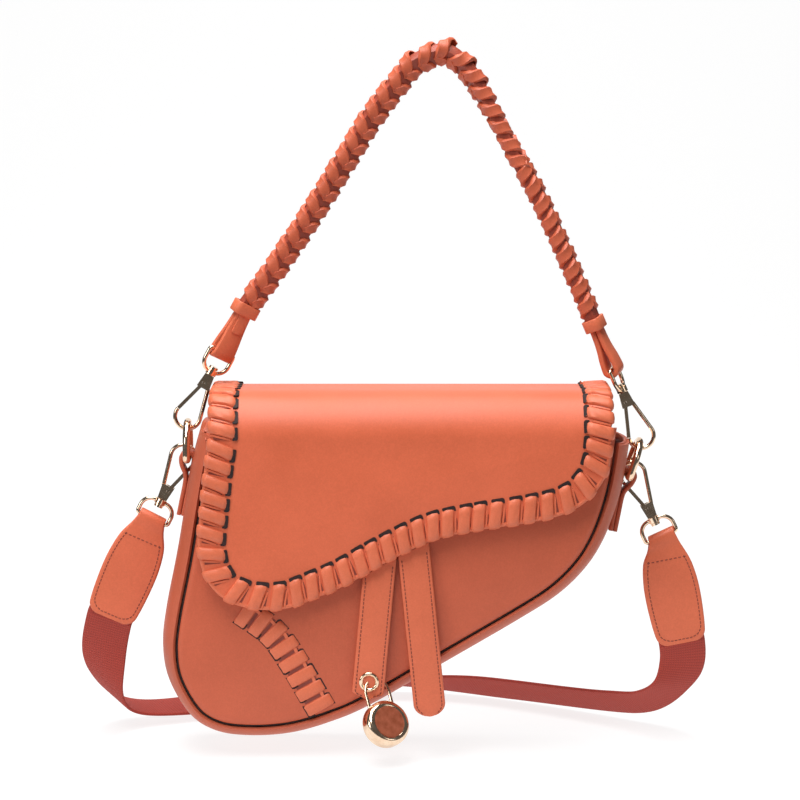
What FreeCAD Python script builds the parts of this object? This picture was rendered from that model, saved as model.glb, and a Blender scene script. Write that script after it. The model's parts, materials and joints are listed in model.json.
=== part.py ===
# A laced leather saddle handbag, hung from its short handle, with its webbing strap laid behind it.
# Millimetres. X is to the right as the bag is looked at, Y is to the back, Z is up.
# The origin is at the grip, on the underside of the handle's arch.
import FreeCAD, Part
import math
import os

os.makedirs("parts", exist_ok=True)

# Bag body
BODY_WIDTH = 250.0
BODY_HEIGHT = 188.0
BODY_DEPTH = 60.0
LEATHER = 2.0
GUSSET_BULGE = 8.0
LINING = 0.8
LINING_GAP = 0.4
GUSSET_DROP = 27.0

# Flap
FLAP_SIDE_MARGIN = 33.0
FLAP_DROP = 114.0
FLAP_LEATHER = 2.2
FLAP_STAND_OFF = 10.0
FLAP_ROLL = 24.0
ROOF_BACK_ROLL = 20.0
ROOF_LEFT_MARGIN = 25.5
ROOF_RIGHT_MARGIN = 14.0
SNAP_RADIUS = 7.0
SNAP_DROP = 56.0
SNAP_GAP = 0.4

# Thong lacing
LACE = 1.3
LACE_WIDTH = 7.2
LACE_REACH = 13.0
LACE_PITCH = 8.7
LACE_FOLD_GAP = 2.8
FRONT_LACE_COUNT = 8
FRONT_LACE_LENGTH = 15.0
FRONT_LACE_WIDTH = 6.6

# Hanging tongues, eyelet and lock charm
TONGUE_WIDTH = 17.0
TONGUE = 2.0
TONGUE_DROP = 0.8
TONGUE_REVEAL = 0.4
LEFT_TONGUE_LENGTH = 72.0
RIGHT_TONGUE_LENGTH = 91.0
TONGUE_TIP = 7.0
TONGUE_CUT_TIP = 3.0
EYELET_RADIUS = 4.9
EYELET_HOLE = 3.5
EYELET_WALL = 0.5
EYELET_FLANGE = 0.6
EYELET_UP = 9.6
EYELET_EASE = 0.1
LOCK_RADIUS = 12.5
LOCK_DEPTH = 10.0
LOCK_EDGE = 3.2
LOCK_DISH = 1.6
SHACKLE_WIRE = 0.9
SHACKLE_HALF = 7.0
SHACKLE_LEG = 8.0
SHACKLE_SEAT = 2.0
SHACKLE_EASE = 0.1
LOCK_YAW = 30.0
LOCK_TILT = 30.0
LOCK_TURN = 62.0

# Side rings and their tabs
RING_WIRE = 2.0
RING_HALF = 12.0
RING_CORNER = 3.0
RING_SHANK = 7.6
LEFT_RING_DROP = 40.0
RIGHT_RING_DROP = 47.0
LEFT_RING_LEAN = 0.0
RIGHT_RING_LEAN = 18.0
TAB_WIDTH = 11.0
TAB_LENGTH = 31.0
TAB_STRIP = 2.6
TAB_CLEARANCE = 0.3
TAB_SINK = 0.25

# Swivel clasps
WIRE = 1.1
BOW = 6.8
CLASP_REACH = 26.0
BLOCK_FOOT = 17.6
BLOCK_HALF = 3.6
BLOCK_TOP_HALF = 2.6
BLOCK_DEPTH = 4.4
GATE = 1.9
GATE_DEPTH = 2.0
GATE_SLOT = 0.15
GATE_EYE_SHARE = 0.8
PIVOT_UP = 20.4
PIVOT_OUT = 1.0
PIN = 0.7
PIN_PROUD = 0.2
LATCH_ANGLE = 168.0
BOSS_RADIUS = 3.0
BOSS = 3.0
POST = 1.5
POST_CLEARANCE = 0.1
POST_HEAD = 2.5
POST_HEAD_DEPTH = 1.3
CLASP_GAP = 0.3
RING_PLAY = 0.75
LOOP_WIRE = 1.15
LOOP_EASE = 0.15
HANDLE_LOOP_HALF = 7.4
HANDLE_LOOP_RISE = 14.0
HANDLE_LOOP_ROUND = 6.2
STRAP_LOOP_HALF = 9.1
STRAP_LOOP_RISE = 12.0
STRAP_LOOP_ROUND = 6.0
LOOP_CORNER = 1.5
LEFT_CLASP_LEAN = 28.5
RIGHT_CLASP_LEAN = -23.0
LEFT_STRAP_LEAN = 207.0
RIGHT_STRAP_LEAN = 155.0
STRAP_CLASP_BACK = 8.2
STRAP_CLASP_OUT = 3.3
STRAP_CLASP_DOWN = 0.9

# Handle
HANDLE_WIDTH = 10.5
HANDLE_DEPTH = 6.0
HANDLE_RISE = 141.0
HANDLE_STATIONS = 30
HANDLE_WRAPS = 34
WRAP_WIDTH = 6.4
WRAP_EASE = 0.35
END_LENGTH = 26.0
END_WIDTH = 10.4
END_EYE = 4.6
KEEPER_LENGTH = 7.5
KEEPER = 1.8
KEEPER_EASE = 0.3
LEFT_TWIST = 25.0
RIGHT_TWIST = 110.0
TWIST_START_SHARE = 0.42
TWIST_END_SHARE = 0.75

# Webbing strap and its leather ends
STRAP_WIDTH = 25.4
WEBBING = 1.8
STRAP_EASE = 0.1
STRAP_STATIONS = 60
STRAP_SPAN = 165.0
STRAP_BACK = 124.0
STRAP_TABLE = 187.0
END_TAB_LENGTH = 60.0
END_TAB_WIDTH = 30.0
END_TAB_NECK = 15.0
END_TAB_DEPTH = 5.4
END_TAB_SLOT = 24.0
END_TAB_EYE = 3.2
LEFT_END_LEAN = 203.5
RIGHT_END_LEAN = 168.5

OVERRUN = 20.0
HALF_SHARE = 0.5
FINE_STEPS = 400
OUTLINE_STEPS = 44

# Outer edge of the bag seen from the front, as shares of its width and height
OUTLINE_SHARES = [
    (-0.420, 0.106), (-0.441, 0.214), (-0.473, 0.460), (-0.500, 0.640), (-0.508, 0.745),
    (-0.496, 0.840), (-0.452, 0.940), (-0.395, 0.987), (-0.320, 1.000), (-0.233, 0.991),
    (-0.147, 0.958), (-0.065, 0.910), (0.086, 0.793), (0.259, 0.657), (0.341, 0.585),
    (0.398, 0.509), (0.434, 0.431), (0.460, 0.338), (0.477, 0.243), (0.492, 0.106),
]
# Lower edge of the flap from left to right, as shares of its width and drop
FLAP_SHARES = [
    (-0.4585, 0.210), (-0.470, 0.349), (-0.481, 0.540), (-0.488, 0.695), (-0.476, 0.826),
    (-0.446, 0.918), (-0.404, 0.970), (-0.344, 0.997), (-0.276, 0.990), (-0.205, 0.940),
    (-0.133, 0.880), (-0.053, 0.793), (0.029, 0.711), (0.097, 0.658), (0.194, 0.620),
    (0.290, 0.593), (0.376, 0.560), (0.431, 0.515), (0.470, 0.450), (0.500, 0.350), (0.5115, 0.210),
]
# The diagonal row of lacing on the front, as shares of the bag's width and height
FRONT_LACE_START_SHARES = (-0.317, 0.616)
FRONT_LACE_END_SHARES = (-0.166, 0.893)
# Where each tongue leaves the flap, as a share of the bag's width, and its sideways lean
LEFT_TONGUE_SHARE = -0.047
RIGHT_TONGUE_SHARE = 0.0265
LEFT_TONGUE_LEAN = 185.3
RIGHT_TONGUE_LEAN = 174.2
# The handle's arch between its keepers, as shares of its span and rise
ARCH_SHARES = [
    (0.0, 0.0), (0.095, 0.178), (0.212, 0.417), (0.349, 0.718), (0.4365, 0.880), (0.483, 0.951),
    (0.562, 1.000), (0.6146, 0.965), (0.661, 0.885), (0.758, 0.664), (0.854, 0.4325), (0.956, 0.137),
    (1.0, 0.0),
]
# Half-width of a strap end along its length, as shares of the length and the half-width
END_TAB_SHARES = [
    (0.10, 0.62), (0.24, 0.86), (0.42, 0.98), (0.60, 1.00), (0.80, 0.96), (0.93, 0.88), (1.0, 0.70),
]
# The webbing's middle line, as shares of its span, its reach to the back and the table's depth
STRAP_ROUTE_SHARES = [
    (-0.987, 0.125, -0.754), (-0.990, 0.169, -0.810), (-0.983, 0.226, -0.872),
    (-0.962, 0.278, -0.922), (-0.933, 0.359, -0.961), (-0.881, 0.423, -0.988),
    (-0.800, 0.484, -0.995), (-0.640, 0.590, -0.995), (-0.430, 0.760, -0.995),
    (-0.180, 0.940, -0.995), (0.060, 1.000, -0.995), (0.300, 0.860, -0.995),
    (0.540, 0.650, -0.992), (0.776, 0.383, -0.981), (0.831, 0.319, -0.964),
    (0.869, 0.262, -0.941), (0.898, 0.206, -0.919), (0.927, 0.157, -0.890),
    (0.943, 0.133, -0.851), (0.948, 0.101, -0.805),
]
# Which way the webbing's width points at each of those places, as shares of it along X, Y and Z
STRAP_LIE_SHARES = [
    (0.765, 0.430, -0.480), (0.586, 0.703, -0.406), (0.240, 0.920, -0.310),
    (0.010, 0.980, -0.200), (-0.050, 1.000, -0.040), (-0.100, 0.990, 0.040),
    (-0.100, 0.990, 0.060), (-0.250, 0.960, 0.060), (-0.360, 0.930, 0.060),
    (-0.200, 0.980, 0.060), (0.100, 0.990, 0.060), (0.300, 0.950, 0.060),
    (0.200, 0.970, 0.060), (-0.140, 0.980, 0.060), (-0.020, 1.000, 0.020),
    (-0.130, 0.980, -0.140), (-0.345, 0.910, -0.200), (-0.605, 0.760, -0.220),
    (-0.783, 0.610, -0.130), (-0.950, 0.280, -0.170),
]

# Places worked out from the sizes above
HALF_DEPTH = BODY_DEPTH / 2
FLAP_WIDTH = BODY_WIDTH - FLAP_SIDE_MARGIN
ROOF_LEFT = ROOF_LEFT_MARGIN - BODY_WIDTH / 2
ROOF_RIGHT = BODY_WIDTH / 2 - ROOF_RIGHT_MARGIN
FLAP_FACE = -HALF_DEPTH - FLAP_STAND_OFF
FOLD_Y = FLAP_FACE + FLAP_ROLL
FLAP_BACK = FLAP_FACE + FLAP_LEATHER
TONGUE_MIDDLE = FLAP_BACK + LACE + TONGUE_REVEAL + TONGUE / 2
RING_TOP = RING_SHANK + RING_HALF
PANEL_INSET = GUSSET_BULGE
BACKWARD = FreeCAD.Vector(0, 1, 0)
UPWARD = FreeCAD.Vector(0, 0, 1)
RIGHTWARD = FreeCAD.Vector(1, 0, 0)


def leaning(degrees):
    """The direction in the bag's front plane that leans this far to the right of straight up."""
    angle = math.radians(degrees)
    return FreeCAD.Vector(math.sin(angle), 0, math.cos(angle))


def framed(shape, origin, across, along):
    """A copy of a shape drawn with X across and Z along, set down at its place."""
    side = along.cross(across)
    matrix = FreeCAD.Matrix(
        across.x, side.x, along.x, origin.x,
        across.y, side.y, along.y, origin.y,
        across.z, side.z, along.z, origin.z,
        0, 0, 0, 1,
    )
    moved = shape.copy()
    moved.Placement = FreeCAD.Placement(matrix).multiply(moved.Placement)
    return moved


def spline(points):
    """A smooth curve through the points."""
    curve = Part.BSplineCurve()
    curve.interpolate(points)
    return curve


def samples(curve, count):
    """Even steps along a curve, each with its place and its direction."""
    first, last = curve.FirstParameter, curve.LastParameter
    steps = [first + (last - first) * i / (count - 1) for i in range(count)]
    return [(curve.value(s), FreeCAD.Vector(*curve.tangent(s)[0])) for s in steps]


def inward_of(way):
    """The direction into the bag at an edge that is drawn from left to right round the bottom."""
    return FreeCAD.Vector(-way.z, 0, way.x)


def inset(curve, distance, count):
    """The curve moved into the bag."""
    return spline([at + inward_of(way) * distance for at, way in samples(curve, count)])


def lengthwise(points):
    """The distance along a chain of points at each of them."""
    total = [0.0]
    for a, b in zip(points, points[1:]):
        total.append(total[-1] + a.distanceToPoint(b))
    return total


def box_between(low, high):
    """A box given by two opposite corners."""
    size = high - low
    return Part.makeBox(size.x, size.y, size.z, low)


def tube(edges, radius):
    """A round wire swept along joined edges."""
    path = Part.Wire(edges)
    start = path.OrderedEdges[0]
    way = start.tangentAt(start.FirstParameter)
    ring = Part.Wire(Part.makeCircle(radius, start.valueAt(start.FirstParameter), way))
    return path.makePipeShell([ring], True, False)


def save(node, shapes):
    """Writes a node's solids, moved so that the grip is at the origin."""
    solids = [solid for shape in shapes for solid in shape.Solids]
    whole = solids[0] if len(solids) == 1 else Part.makeCompound(solids)
    whole = whole.copy()
    whole.translate(FreeCAD.Vector(0, 0, 0) - GRIP)
    whole.exportStep("parts/" + node + ".step")


# Bag outline
OUTLINE = spline([FreeCAD.Vector(x * BODY_WIDTH, 0, -z * BODY_HEIGHT) for x, z in OUTLINE_SHARES])


def outline_at(inward, y):
    """The bag's U-shaped edge at a depth, moved inward."""
    curve = inset(OUTLINE, inward, OUTLINE_STEPS)
    curve.translate(FreeCAD.Vector(0, y, 0))
    return curve


def closed_outline(inward, y, rise):
    """The bag's edge closed by a straight top, which can stand above the edge's ends."""
    curve = outline_at(inward, y)
    left, right = curve.StartPoint, curve.EndPoint
    top = [right + UPWARD * rise, left + UPWARD * rise] if rise else []
    corners = [right] + top + [left]
    lines = [Part.makeLine(a, b) for a, b in zip(corners, corners[1:])]
    return Part.Wire([curve.toShape()] + lines)


def sheet(inward, low, high, rise=0):
    """A flat piece of the bag's outline between two depths."""
    face = Part.Face(closed_outline(inward, low, rise))
    return face.extrude(BACKWARD * (high - low))


# Front and back panels, gusset and lining
def front_panel():
    return sheet(PANEL_INSET, -HALF_DEPTH, LEATHER - HALF_DEPTH)


def back_panel(roof):
    return sheet(PANEL_INSET, HALF_DEPTH - LEATHER, HALF_DEPTH).cut(roof)


GUSSET_LEVEL_SHARES = [-1.0, -0.85, -0.5, 0.0, 0.5, 0.85, 1.0]


def gusset():
    """The band round the edge, which bulges outward between the two panels."""
    reach = HALF_DEPTH - LEATHER
    rings = []
    for share in GUSSET_LEVEL_SHARES:
        inward = GUSSET_BULGE * (1 - math.sqrt(1 - share * share))
        outer = outline_at(inward, share * reach)
        inner = outline_at(inward + LEATHER, share * reach)
        ends = [
            Part.makeLine(outer.EndPoint, inner.EndPoint),
            Part.makeLine(inner.StartPoint, outer.StartPoint),
        ]
        rings.append(Part.Wire([outer.toShape(), ends[0], inner.toShape(), ends[1]]))
    above = box_between(
        FreeCAD.Vector(-BODY_WIDTH, -BODY_DEPTH, -GUSSET_DROP),
        FreeCAD.Vector(BODY_WIDTH, BODY_DEPTH, OVERRUN),
    )
    return Part.makeLoft(rings, True, True).cut(above)


def lining():
    """A thin open tub inside the panels and the gusset."""
    reach = HALF_DEPTH - LEATHER - LINING_GAP
    inward = PANEL_INSET + LEATHER + LINING_GAP
    tub = sheet(inward, -reach, reach)
    hollow = sheet(inward + LINING, LINING - reach, reach - LINING, OVERRUN)
    return tub.cut(hollow)


# Flap, in a roof part that stays on the bag and a front part that lifts
def roof_profile():
    """The section of the roof, from the back panel over the top to the fold."""
    def run(inward):
        back = HALF_DEPTH - inward
        top = -inward
        turn = ROOF_BACK_ROLL - inward
        centre = FreeCAD.Vector(0, HALF_DEPTH - ROOF_BACK_ROLL, -ROOF_BACK_ROLL)
        middle = centre + (BACKWARD + UPWARD) * (turn * math.sqrt(HALF_SHARE))
        return [
            FreeCAD.Vector(0, back, -ROOF_BACK_ROLL),
            middle,
            FreeCAD.Vector(0, HALF_DEPTH - ROOF_BACK_ROLL, top),
            FreeCAD.Vector(0, FOLD_Y, top),
        ]
    outer, inner = run(0), run(FLAP_LEATHER)
    return Part.Wire([
        Part.Arc(outer[0], outer[1], outer[2]).toShape(),
        Part.makeLine(outer[2], outer[3]),
        Part.makeLine(outer[3], inner[3]),
        Part.makeLine(inner[3], inner[2]),
        Part.Arc(inner[2], inner[1], inner[0]).toShape(),
        Part.makeLine(inner[0], outer[0]),
    ])


def flap_roof():
    profile = Part.Face(roof_profile())
    profile.translate(RIGHTWARD * ROOF_LEFT)
    return profile.extrude(RIGHTWARD * (ROOF_RIGHT - ROOF_LEFT))


FLAP_EDGE = spline([FreeCAD.Vector(x * FLAP_WIDTH, 0, -z * FLAP_DROP) for x, z in FLAP_SHARES])


def flap_panel():
    """The lifting front of the flap: a roll over the front edge, then a hanging sheet with a waved hem."""
    centre = FreeCAD.Vector(0, FOLD_Y, -FLAP_ROLL)

    def run(inward):
        turn = FLAP_ROLL - inward
        middle = centre + (UPWARD - BACKWARD) * (turn * math.sqrt(HALF_SHARE))
        return [
            centre + UPWARD * turn,
            middle,
            centre - BACKWARD * turn,
            FreeCAD.Vector(0, FOLD_Y - turn, -FLAP_DROP - OVERRUN),
        ]
    outer, inner = run(0), run(FLAP_LEATHER)
    profile = Part.Face(Part.Wire([
        Part.Arc(outer[0], outer[1], outer[2]).toShape(),
        Part.makeLine(outer[2], outer[3]),
        Part.makeLine(outer[3], inner[3]),
        Part.makeLine(inner[3], inner[2]),
        Part.Arc(inner[2], inner[1], inner[0]).toShape(),
        Part.makeLine(inner[0], outer[0]),
    ]))
    profile.translate(RIGHTWARD * (ROOF_LEFT - OVERRUN))
    skin = profile.extrude(RIGHTWARD * (ROOF_RIGHT - ROOF_LEFT + OVERRUN * 2))
    left, right = FLAP_EDGE.StartPoint, FLAP_EDGE.EndPoint
    above = [FreeCAD.Vector(right.x, 0, OVERRUN), FreeCAD.Vector(left.x, 0, OVERRUN)]
    hem = Part.Wire([
        FLAP_EDGE.toShape(),
        Part.makeLine(right, above[0]),
        Part.makeLine(above[0], above[1]),
        Part.makeLine(above[1], left),
    ])
    cutter = Part.Face(hem)
    cutter.translate(BACKWARD * (FLAP_FACE - OVERRUN))
    return skin.common(cutter.extrude(BACKWARD * (OVERRUN * 2 - FLAP_FACE)))


# Whip lacing round the flap's edge
def lace_clip(edge, inward, outward, panel):
    """One turn of thong over the edge, from slit to slit, as it sits on the leather."""
    clip = Part.makeBox(LACE_REACH + LACE, FLAP_LEATHER + LACE * 2, LACE_WIDTH)
    clip.translate(FreeCAD.Vector(-LACE, -LACE - FLAP_LEATHER, -LACE_WIDTH / 2))
    along = inward.cross(outward)
    return framed(clip, edge, inward, along).cut(panel)


def hem_places():
    """Evenly spaced slits along the waved hem, each as its edge point and its direction along the edge."""
    run = samples(FLAP_EDGE, FINE_STEPS)
    along = lengthwise([at + inward_of(way) * LACE_REACH for at, way in run])
    count = int(along[-1] / LACE_PITCH)
    wanted = [along[-1] * (i + HALF_SHARE) / count for i in range(count)]
    return [run[min(range(FINE_STEPS), key=lambda k: abs(along[k] - w))] for w in wanted]


def roll_places(length):
    """Distances from the fold at which the thong turns over a side edge."""
    count = int((length - LACE_FOLD_GAP) / LACE_PITCH)
    return [LACE_FOLD_GAP + LACE_WIDTH / 2 + LACE_PITCH * i for i in range(count)]


def flap_lacing(panel):
    clips = []
    for at, way in hem_places():
        edge = FreeCAD.Vector(at.x, FLAP_FACE, at.z)
        clips.append(lace_clip(edge, inward_of(way), -BACKWARD, panel))
    for x, inward in ((FLAP_EDGE.StartPoint.x, RIGHTWARD), (FLAP_EDGE.EndPoint.x, -RIGHTWARD)):
        for distance in roll_places(FLAP_ROLL * math.pi / 2):
            turn = distance / FLAP_ROLL
            outward = UPWARD * math.cos(turn) - BACKWARD * math.sin(turn)
            edge = FreeCAD.Vector(x, FOLD_Y, -FLAP_ROLL) + outward * FLAP_ROLL
            clips.append(lace_clip(edge, inward, outward, panel))
    return clips


def roof_lacing(roof):
    flat = HALF_DEPTH - ROOF_BACK_ROLL - FOLD_Y
    clips = []
    for x, inward in ((ROOF_LEFT, RIGHTWARD), (ROOF_RIGHT, -RIGHTWARD)):
        for distance in roll_places(flat + ROOF_BACK_ROLL * math.pi / 2):
            turn = max(0, distance - flat) / ROOF_BACK_ROLL
            outward = UPWARD * math.cos(turn) + BACKWARD * math.sin(turn)
            start = FreeCAD.Vector(x, FOLD_Y + min(distance, flat), -ROOF_BACK_ROLL)
            clips.append(lace_clip(start + outward * ROOF_BACK_ROLL, inward, outward, roof))
    return clips


def front_lacing():
    """The diagonal row of flat stitches on the front panel."""
    start, end = [
        FreeCAD.Vector(x * BODY_WIDTH, 0, -z * BODY_HEIGHT)
        for x, z in (FRONT_LACE_START_SHARES, FRONT_LACE_END_SHARES)
    ]
    step = (end - start) / (FRONT_LACE_COUNT - 1)
    down = FreeCAD.Vector(step).normalize()
    stitch = Part.makeBox(FRONT_LACE_LENGTH, LACE, FRONT_LACE_WIDTH)
    stitch.translate(FreeCAD.Vector(-FRONT_LACE_LENGTH / 2, -LACE, -FRONT_LACE_WIDTH / 2))
    across = inward_of(down)
    face = -BACKWARD * HALF_DEPTH
    return [framed(stitch, start + step * i + face, across, -down) for i in range(FRONT_LACE_COUNT)]


# Magnetic snap between the flap and the front
def snap_half(low, high):
    centre = FreeCAD.Vector(0, low, -SNAP_DROP)
    return Part.makeCylinder(SNAP_RADIUS, high - low, centre, BACKWARD)


# Hanging tongues
def tongue_axis(share):
    """The bend line where a tongue leaves the flap: a point on it and its direction."""
    run = samples(FLAP_EDGE, FINE_STEPS)
    lower = [(at, way) for at, way in run if way.x > HALF_SHARE]
    at, way = min(lower, key=lambda pair: abs(pair[0].x - share * BODY_WIDTH))
    place = at - inward_of(way) * (LACE + TONGUE_DROP)
    return FreeCAD.Vector(place.x, TONGUE_MIDDLE, place.z), way


def tongue(share, lean, length, rounded):
    """A strip that hangs from its bend line to a rounded or a cut tip."""
    axis, bend = tongue_axis(share)
    down = leaning(lean)
    across = FreeCAD.Vector(-down.z, 0, down.x)
    half = TONGUE_WIDTH / 2
    top = [axis + bend * (side * half / bend.dot(across)) for side in (-1, 1)]
    tip = axis + down * length
    back = TONGUE_TIP if rounded else TONGUE_CUT_TIP
    shoulder = [tip - down * back + across * (side * half) for side in (-1, 1)]
    if rounded:
        end = [Part.Arc(shoulder[1], tip, shoulder[0]).toShape()]
    else:
        end = [Part.makeLine(shoulder[1], tip), Part.makeLine(tip, shoulder[0])]
    edges = [Part.makeLine(top[0], top[1]), Part.makeLine(top[1], shoulder[1])]
    edges += end + [Part.makeLine(shoulder[0], top[0])]
    face = Part.Face(Part.Wire(edges))
    face.translate(-BACKWARD * (TONGUE / 2))
    strip = face.extrude(BACKWARD * TONGUE)
    knuckle = Part.makeCylinder(TONGUE / 2, top[0].distanceToPoint(top[1]), top[0], bend)
    return strip.fuse(knuckle).removeSplitter()


def eyelet_centre():
    axis, bend = tongue_axis(LEFT_TONGUE_SHARE)
    return axis + leaning(LEFT_TONGUE_LEAN) * (LEFT_TONGUE_LENGTH - EYELET_UP)


def left_tongue():
    strip = tongue(LEFT_TONGUE_SHARE, LEFT_TONGUE_LEAN, LEFT_TONGUE_LENGTH, False)
    hole = EYELET_HOLE + EYELET_WALL + EYELET_EASE
    start = eyelet_centre() - BACKWARD * OVERRUN
    return strip.cut(Part.makeCylinder(hole, OVERRUN * 2, start, BACKWARD))


def eyelet():
    """A barrel through the tongue with a flange on each face."""
    half = TONGUE / 2 + EYELET_FLANGE
    start = eyelet_centre() - BACKWARD * half
    barrel = Part.makeCylinder(EYELET_HOLE + EYELET_WALL, half * 2, start, BACKWARD)
    front = Part.makeCylinder(EYELET_RADIUS, EYELET_FLANGE, start, BACKWARD)
    back = Part.makeCylinder(EYELET_RADIUS, EYELET_FLANGE, start + BACKWARD * (half + TONGUE / 2), BACKWARD)
    bore = Part.makeCylinder(EYELET_HOLE, half * 2, start, BACKWARD)
    return barrel.fuse([front, back]).cut(bore)


# Round lock charm
def lock_frame():
    """The middle of the shackle's bend, with the charm's sideways and upward directions."""
    yaw, tilt, turn = math.radians(LOCK_YAW), math.radians(LOCK_TILT), math.radians(LOCK_TURN)
    sideways = FreeCAD.Vector(math.cos(yaw), math.sin(yaw), 0)
    facing = FreeCAD.Vector(math.sin(yaw), -math.cos(yaw), 0)
    upward = UPWARD * math.cos(tilt) - facing * math.sin(tilt)
    held = upward * (SHACKLE_HALF * math.sin(turn)) - sideways * (SHACKLE_HALF * math.cos(turn))
    return eyelet_centre() - held, sideways, upward


def lock_shackle():
    bend, sideways, upward = lock_frame()
    foot = upward * (-SHACKLE_LEG - SHACKLE_SEAT)
    left, right = bend - sideways * SHACKLE_HALF, bend + sideways * SHACKLE_HALF
    return tube([
        Part.makeLine(left + foot, left),
        Part.Arc(left, bend + upward * SHACKLE_HALF, right).toShape(),
        Part.makeLine(right, right + foot),
    ], SHACKLE_WIRE)


def lock_body():
    """A thick round body with a rounded rim, a dished face and two sockets for the shackle."""
    bend, sideways, upward = lock_frame()
    sunk = math.sqrt(LOCK_RADIUS ** 2 - SHACKLE_HALF ** 2)
    disc = Part.makeCylinder(LOCK_RADIUS, LOCK_DEPTH)
    disc = disc.makeFillet(LOCK_EDGE, [e for e in disc.Edges if e.Curve.TypeId == "Part::GeomCircle"])
    rim = LOCK_RADIUS - LOCK_EDGE
    ball = (rim ** 2 + LOCK_DISH ** 2) / (LOCK_DISH * 2)
    dish = Part.makeSphere(ball, FreeCAD.Vector(0, 0, LOCK_DEPTH + ball - LOCK_DISH))
    disc = disc.cut(dish)
    disc.translate(FreeCAD.Vector(0, 0, -LOCK_DEPTH / 2))
    centre = bend - upward * (SHACKLE_LEG + sunk)
    disc = framed(disc, centre, sideways, sideways.cross(upward))
    for side in (-1, 1):
        socket = bend + sideways * (side * SHACKLE_HALF) - upward * (SHACKLE_LEG + SHACKLE_SEAT)
        disc = disc.cut(Part.makeCylinder(SHACKLE_WIRE + SHACKLE_EASE, OVERRUN, socket, upward))
    return disc


# Side rings and the leather tabs that hold them
def side_frame(drop, side):
    """A place on the gusset's outer edge, with the directions up along it and outward."""
    run = samples(OUTLINE, FINE_STEPS)
    half = FINE_STEPS // 2
    branch = run[:half] if side < 0 else run[half:]
    at, way = min(branch, key=lambda pair: abs(pair[0].z + drop))
    return at, way * side, -inward_of(way)


def ring_bar(drop, side):
    at, up, outward = side_frame(drop, side)
    return at + outward * (RING_WIRE + TAB_CLEARANCE + TAB_STRIP - TAB_SINK)


def ring(bar, lean):
    """A rounded D: a straight bar in the tab, two shanks and a half circle."""
    flat = RING_HALF - RING_CORNER
    diagonal = RING_CORNER * math.sqrt(HALF_SHARE)

    def at(y, z):
        return FreeCAD.Vector(0, y, z)

    def corner(side):
        return at(side * (flat + diagonal), RING_CORNER - diagonal)
    path = tube([
        Part.makeLine(at(-flat, 0), at(flat, 0)),
        Part.Arc(at(flat, 0), corner(1), at(RING_HALF, RING_CORNER)).toShape(),
        Part.makeLine(at(RING_HALF, RING_CORNER), at(RING_HALF, RING_SHANK)),
        Part.Arc(at(RING_HALF, RING_SHANK), at(0, RING_TOP), at(-RING_HALF, RING_SHANK)).toShape(),
        Part.makeLine(at(-RING_HALF, RING_SHANK), at(-RING_HALF, RING_CORNER)),
        Part.Arc(at(-RING_HALF, RING_CORNER), corner(-1), at(-flat, 0)).toShape(),
    ], RING_WIRE)
    up = leaning(lean)
    return framed(path, bar, FreeCAD.Vector(up.z, 0, -up.x), up)


def ring_tab(drop, side, band):
    """A strip folded round the ring's bar, both ends sewn to the gusset."""
    at, up, outward = side_frame(drop, side)
    eye = RING_WIRE + TAB_CLEARANCE + TAB_STRIP
    half = TAB_WIDTH / 2
    fold = Part.makeCylinder(eye, TAB_WIDTH, -BACKWARD * half, BACKWARD)
    tail = box_between(FreeCAD.Vector(-eye, -half, -TAB_LENGTH), FreeCAD.Vector(TAB_STRIP * 2 - eye, half, 0))
    bore = Part.makeCylinder(RING_WIRE + TAB_CLEARANCE, OVERRUN * 2, -BACKWARD * OVERRUN, BACKWARD)
    tab = framed(fold.fuse(tail).cut(bore).removeSplitter(), ring_bar(drop, side), outward, up)
    return tab.cut(band)


# Swivel clasps
def clasp_latch():
    angle = math.radians(LATCH_ANGLE)
    return FreeCAD.Vector(BOW * math.cos(angle), 0, BOW * math.sin(angle))


def clasp_pivot():
    return FreeCAD.Vector(-PIVOT_OUT, 0, PIVOT_UP)


def clasp_hook():
    """Bow, leg, slotted block and swivel post, drawn with the bow's middle at the origin and the post up."""
    root = FreeCAD.Vector(BLOCK_TOP_HALF, 0, BLOCK_FOOT + WIRE)
    meet = math.atan2(root.z, root.x) - math.acos(BOW / root.Length)
    close = math.radians(LATCH_ANGLE) - math.pi * 2
    low = (meet + close) / 2
    start = FreeCAD.Vector(BOW * math.cos(meet), 0, BOW * math.sin(meet))
    middle = FreeCAD.Vector(BOW * math.cos(low), 0, BOW * math.sin(low))
    bow = tube([Part.makeLine(root, start), Part.Arc(start, middle, clasp_latch()).toShape()], WIRE)
    top = CLASP_REACH - CLASP_GAP
    half = BLOCK_DEPTH / 2
    block = Part.makePolygon([
        FreeCAD.Vector(-BLOCK_HALF, -half, BLOCK_FOOT), FreeCAD.Vector(BLOCK_HALF, -half, BLOCK_FOOT),
        FreeCAD.Vector(BLOCK_TOP_HALF, -half, top), FreeCAD.Vector(-BLOCK_TOP_HALF, -half, top),
        FreeCAD.Vector(-BLOCK_HALF, -half, BLOCK_FOOT),
    ])
    block = Part.Face(block).extrude(BACKWARD * BLOCK_DEPTH)
    slot = GATE_DEPTH / 2 + GATE_SLOT
    pivot = clasp_pivot()
    low_corner = FreeCAD.Vector(-BLOCK_HALF - GATE, -slot, BLOCK_FOOT - GATE)
    high_corner = FreeCAD.Vector(pivot.x + GATE, slot, pivot.z + GATE)
    hole = Part.makeCylinder(PIN + POST_CLEARANCE, OVERRUN, pivot - BACKWARD * (OVERRUN / 2), BACKWARD)
    under = top + CLASP_GAP + BOSS + CLASP_GAP
    post = Part.makeCylinder(POST, under - top + POST, FreeCAD.Vector(0, 0, top - POST))
    head = Part.makeCylinder(POST_HEAD, POST_HEAD_DEPTH, FreeCAD.Vector(0, 0, under))
    cut_block = block.fuse([bow, post, head])
    return cut_block.cut(box_between(low_corner, high_corner)).cut(hole)


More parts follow.
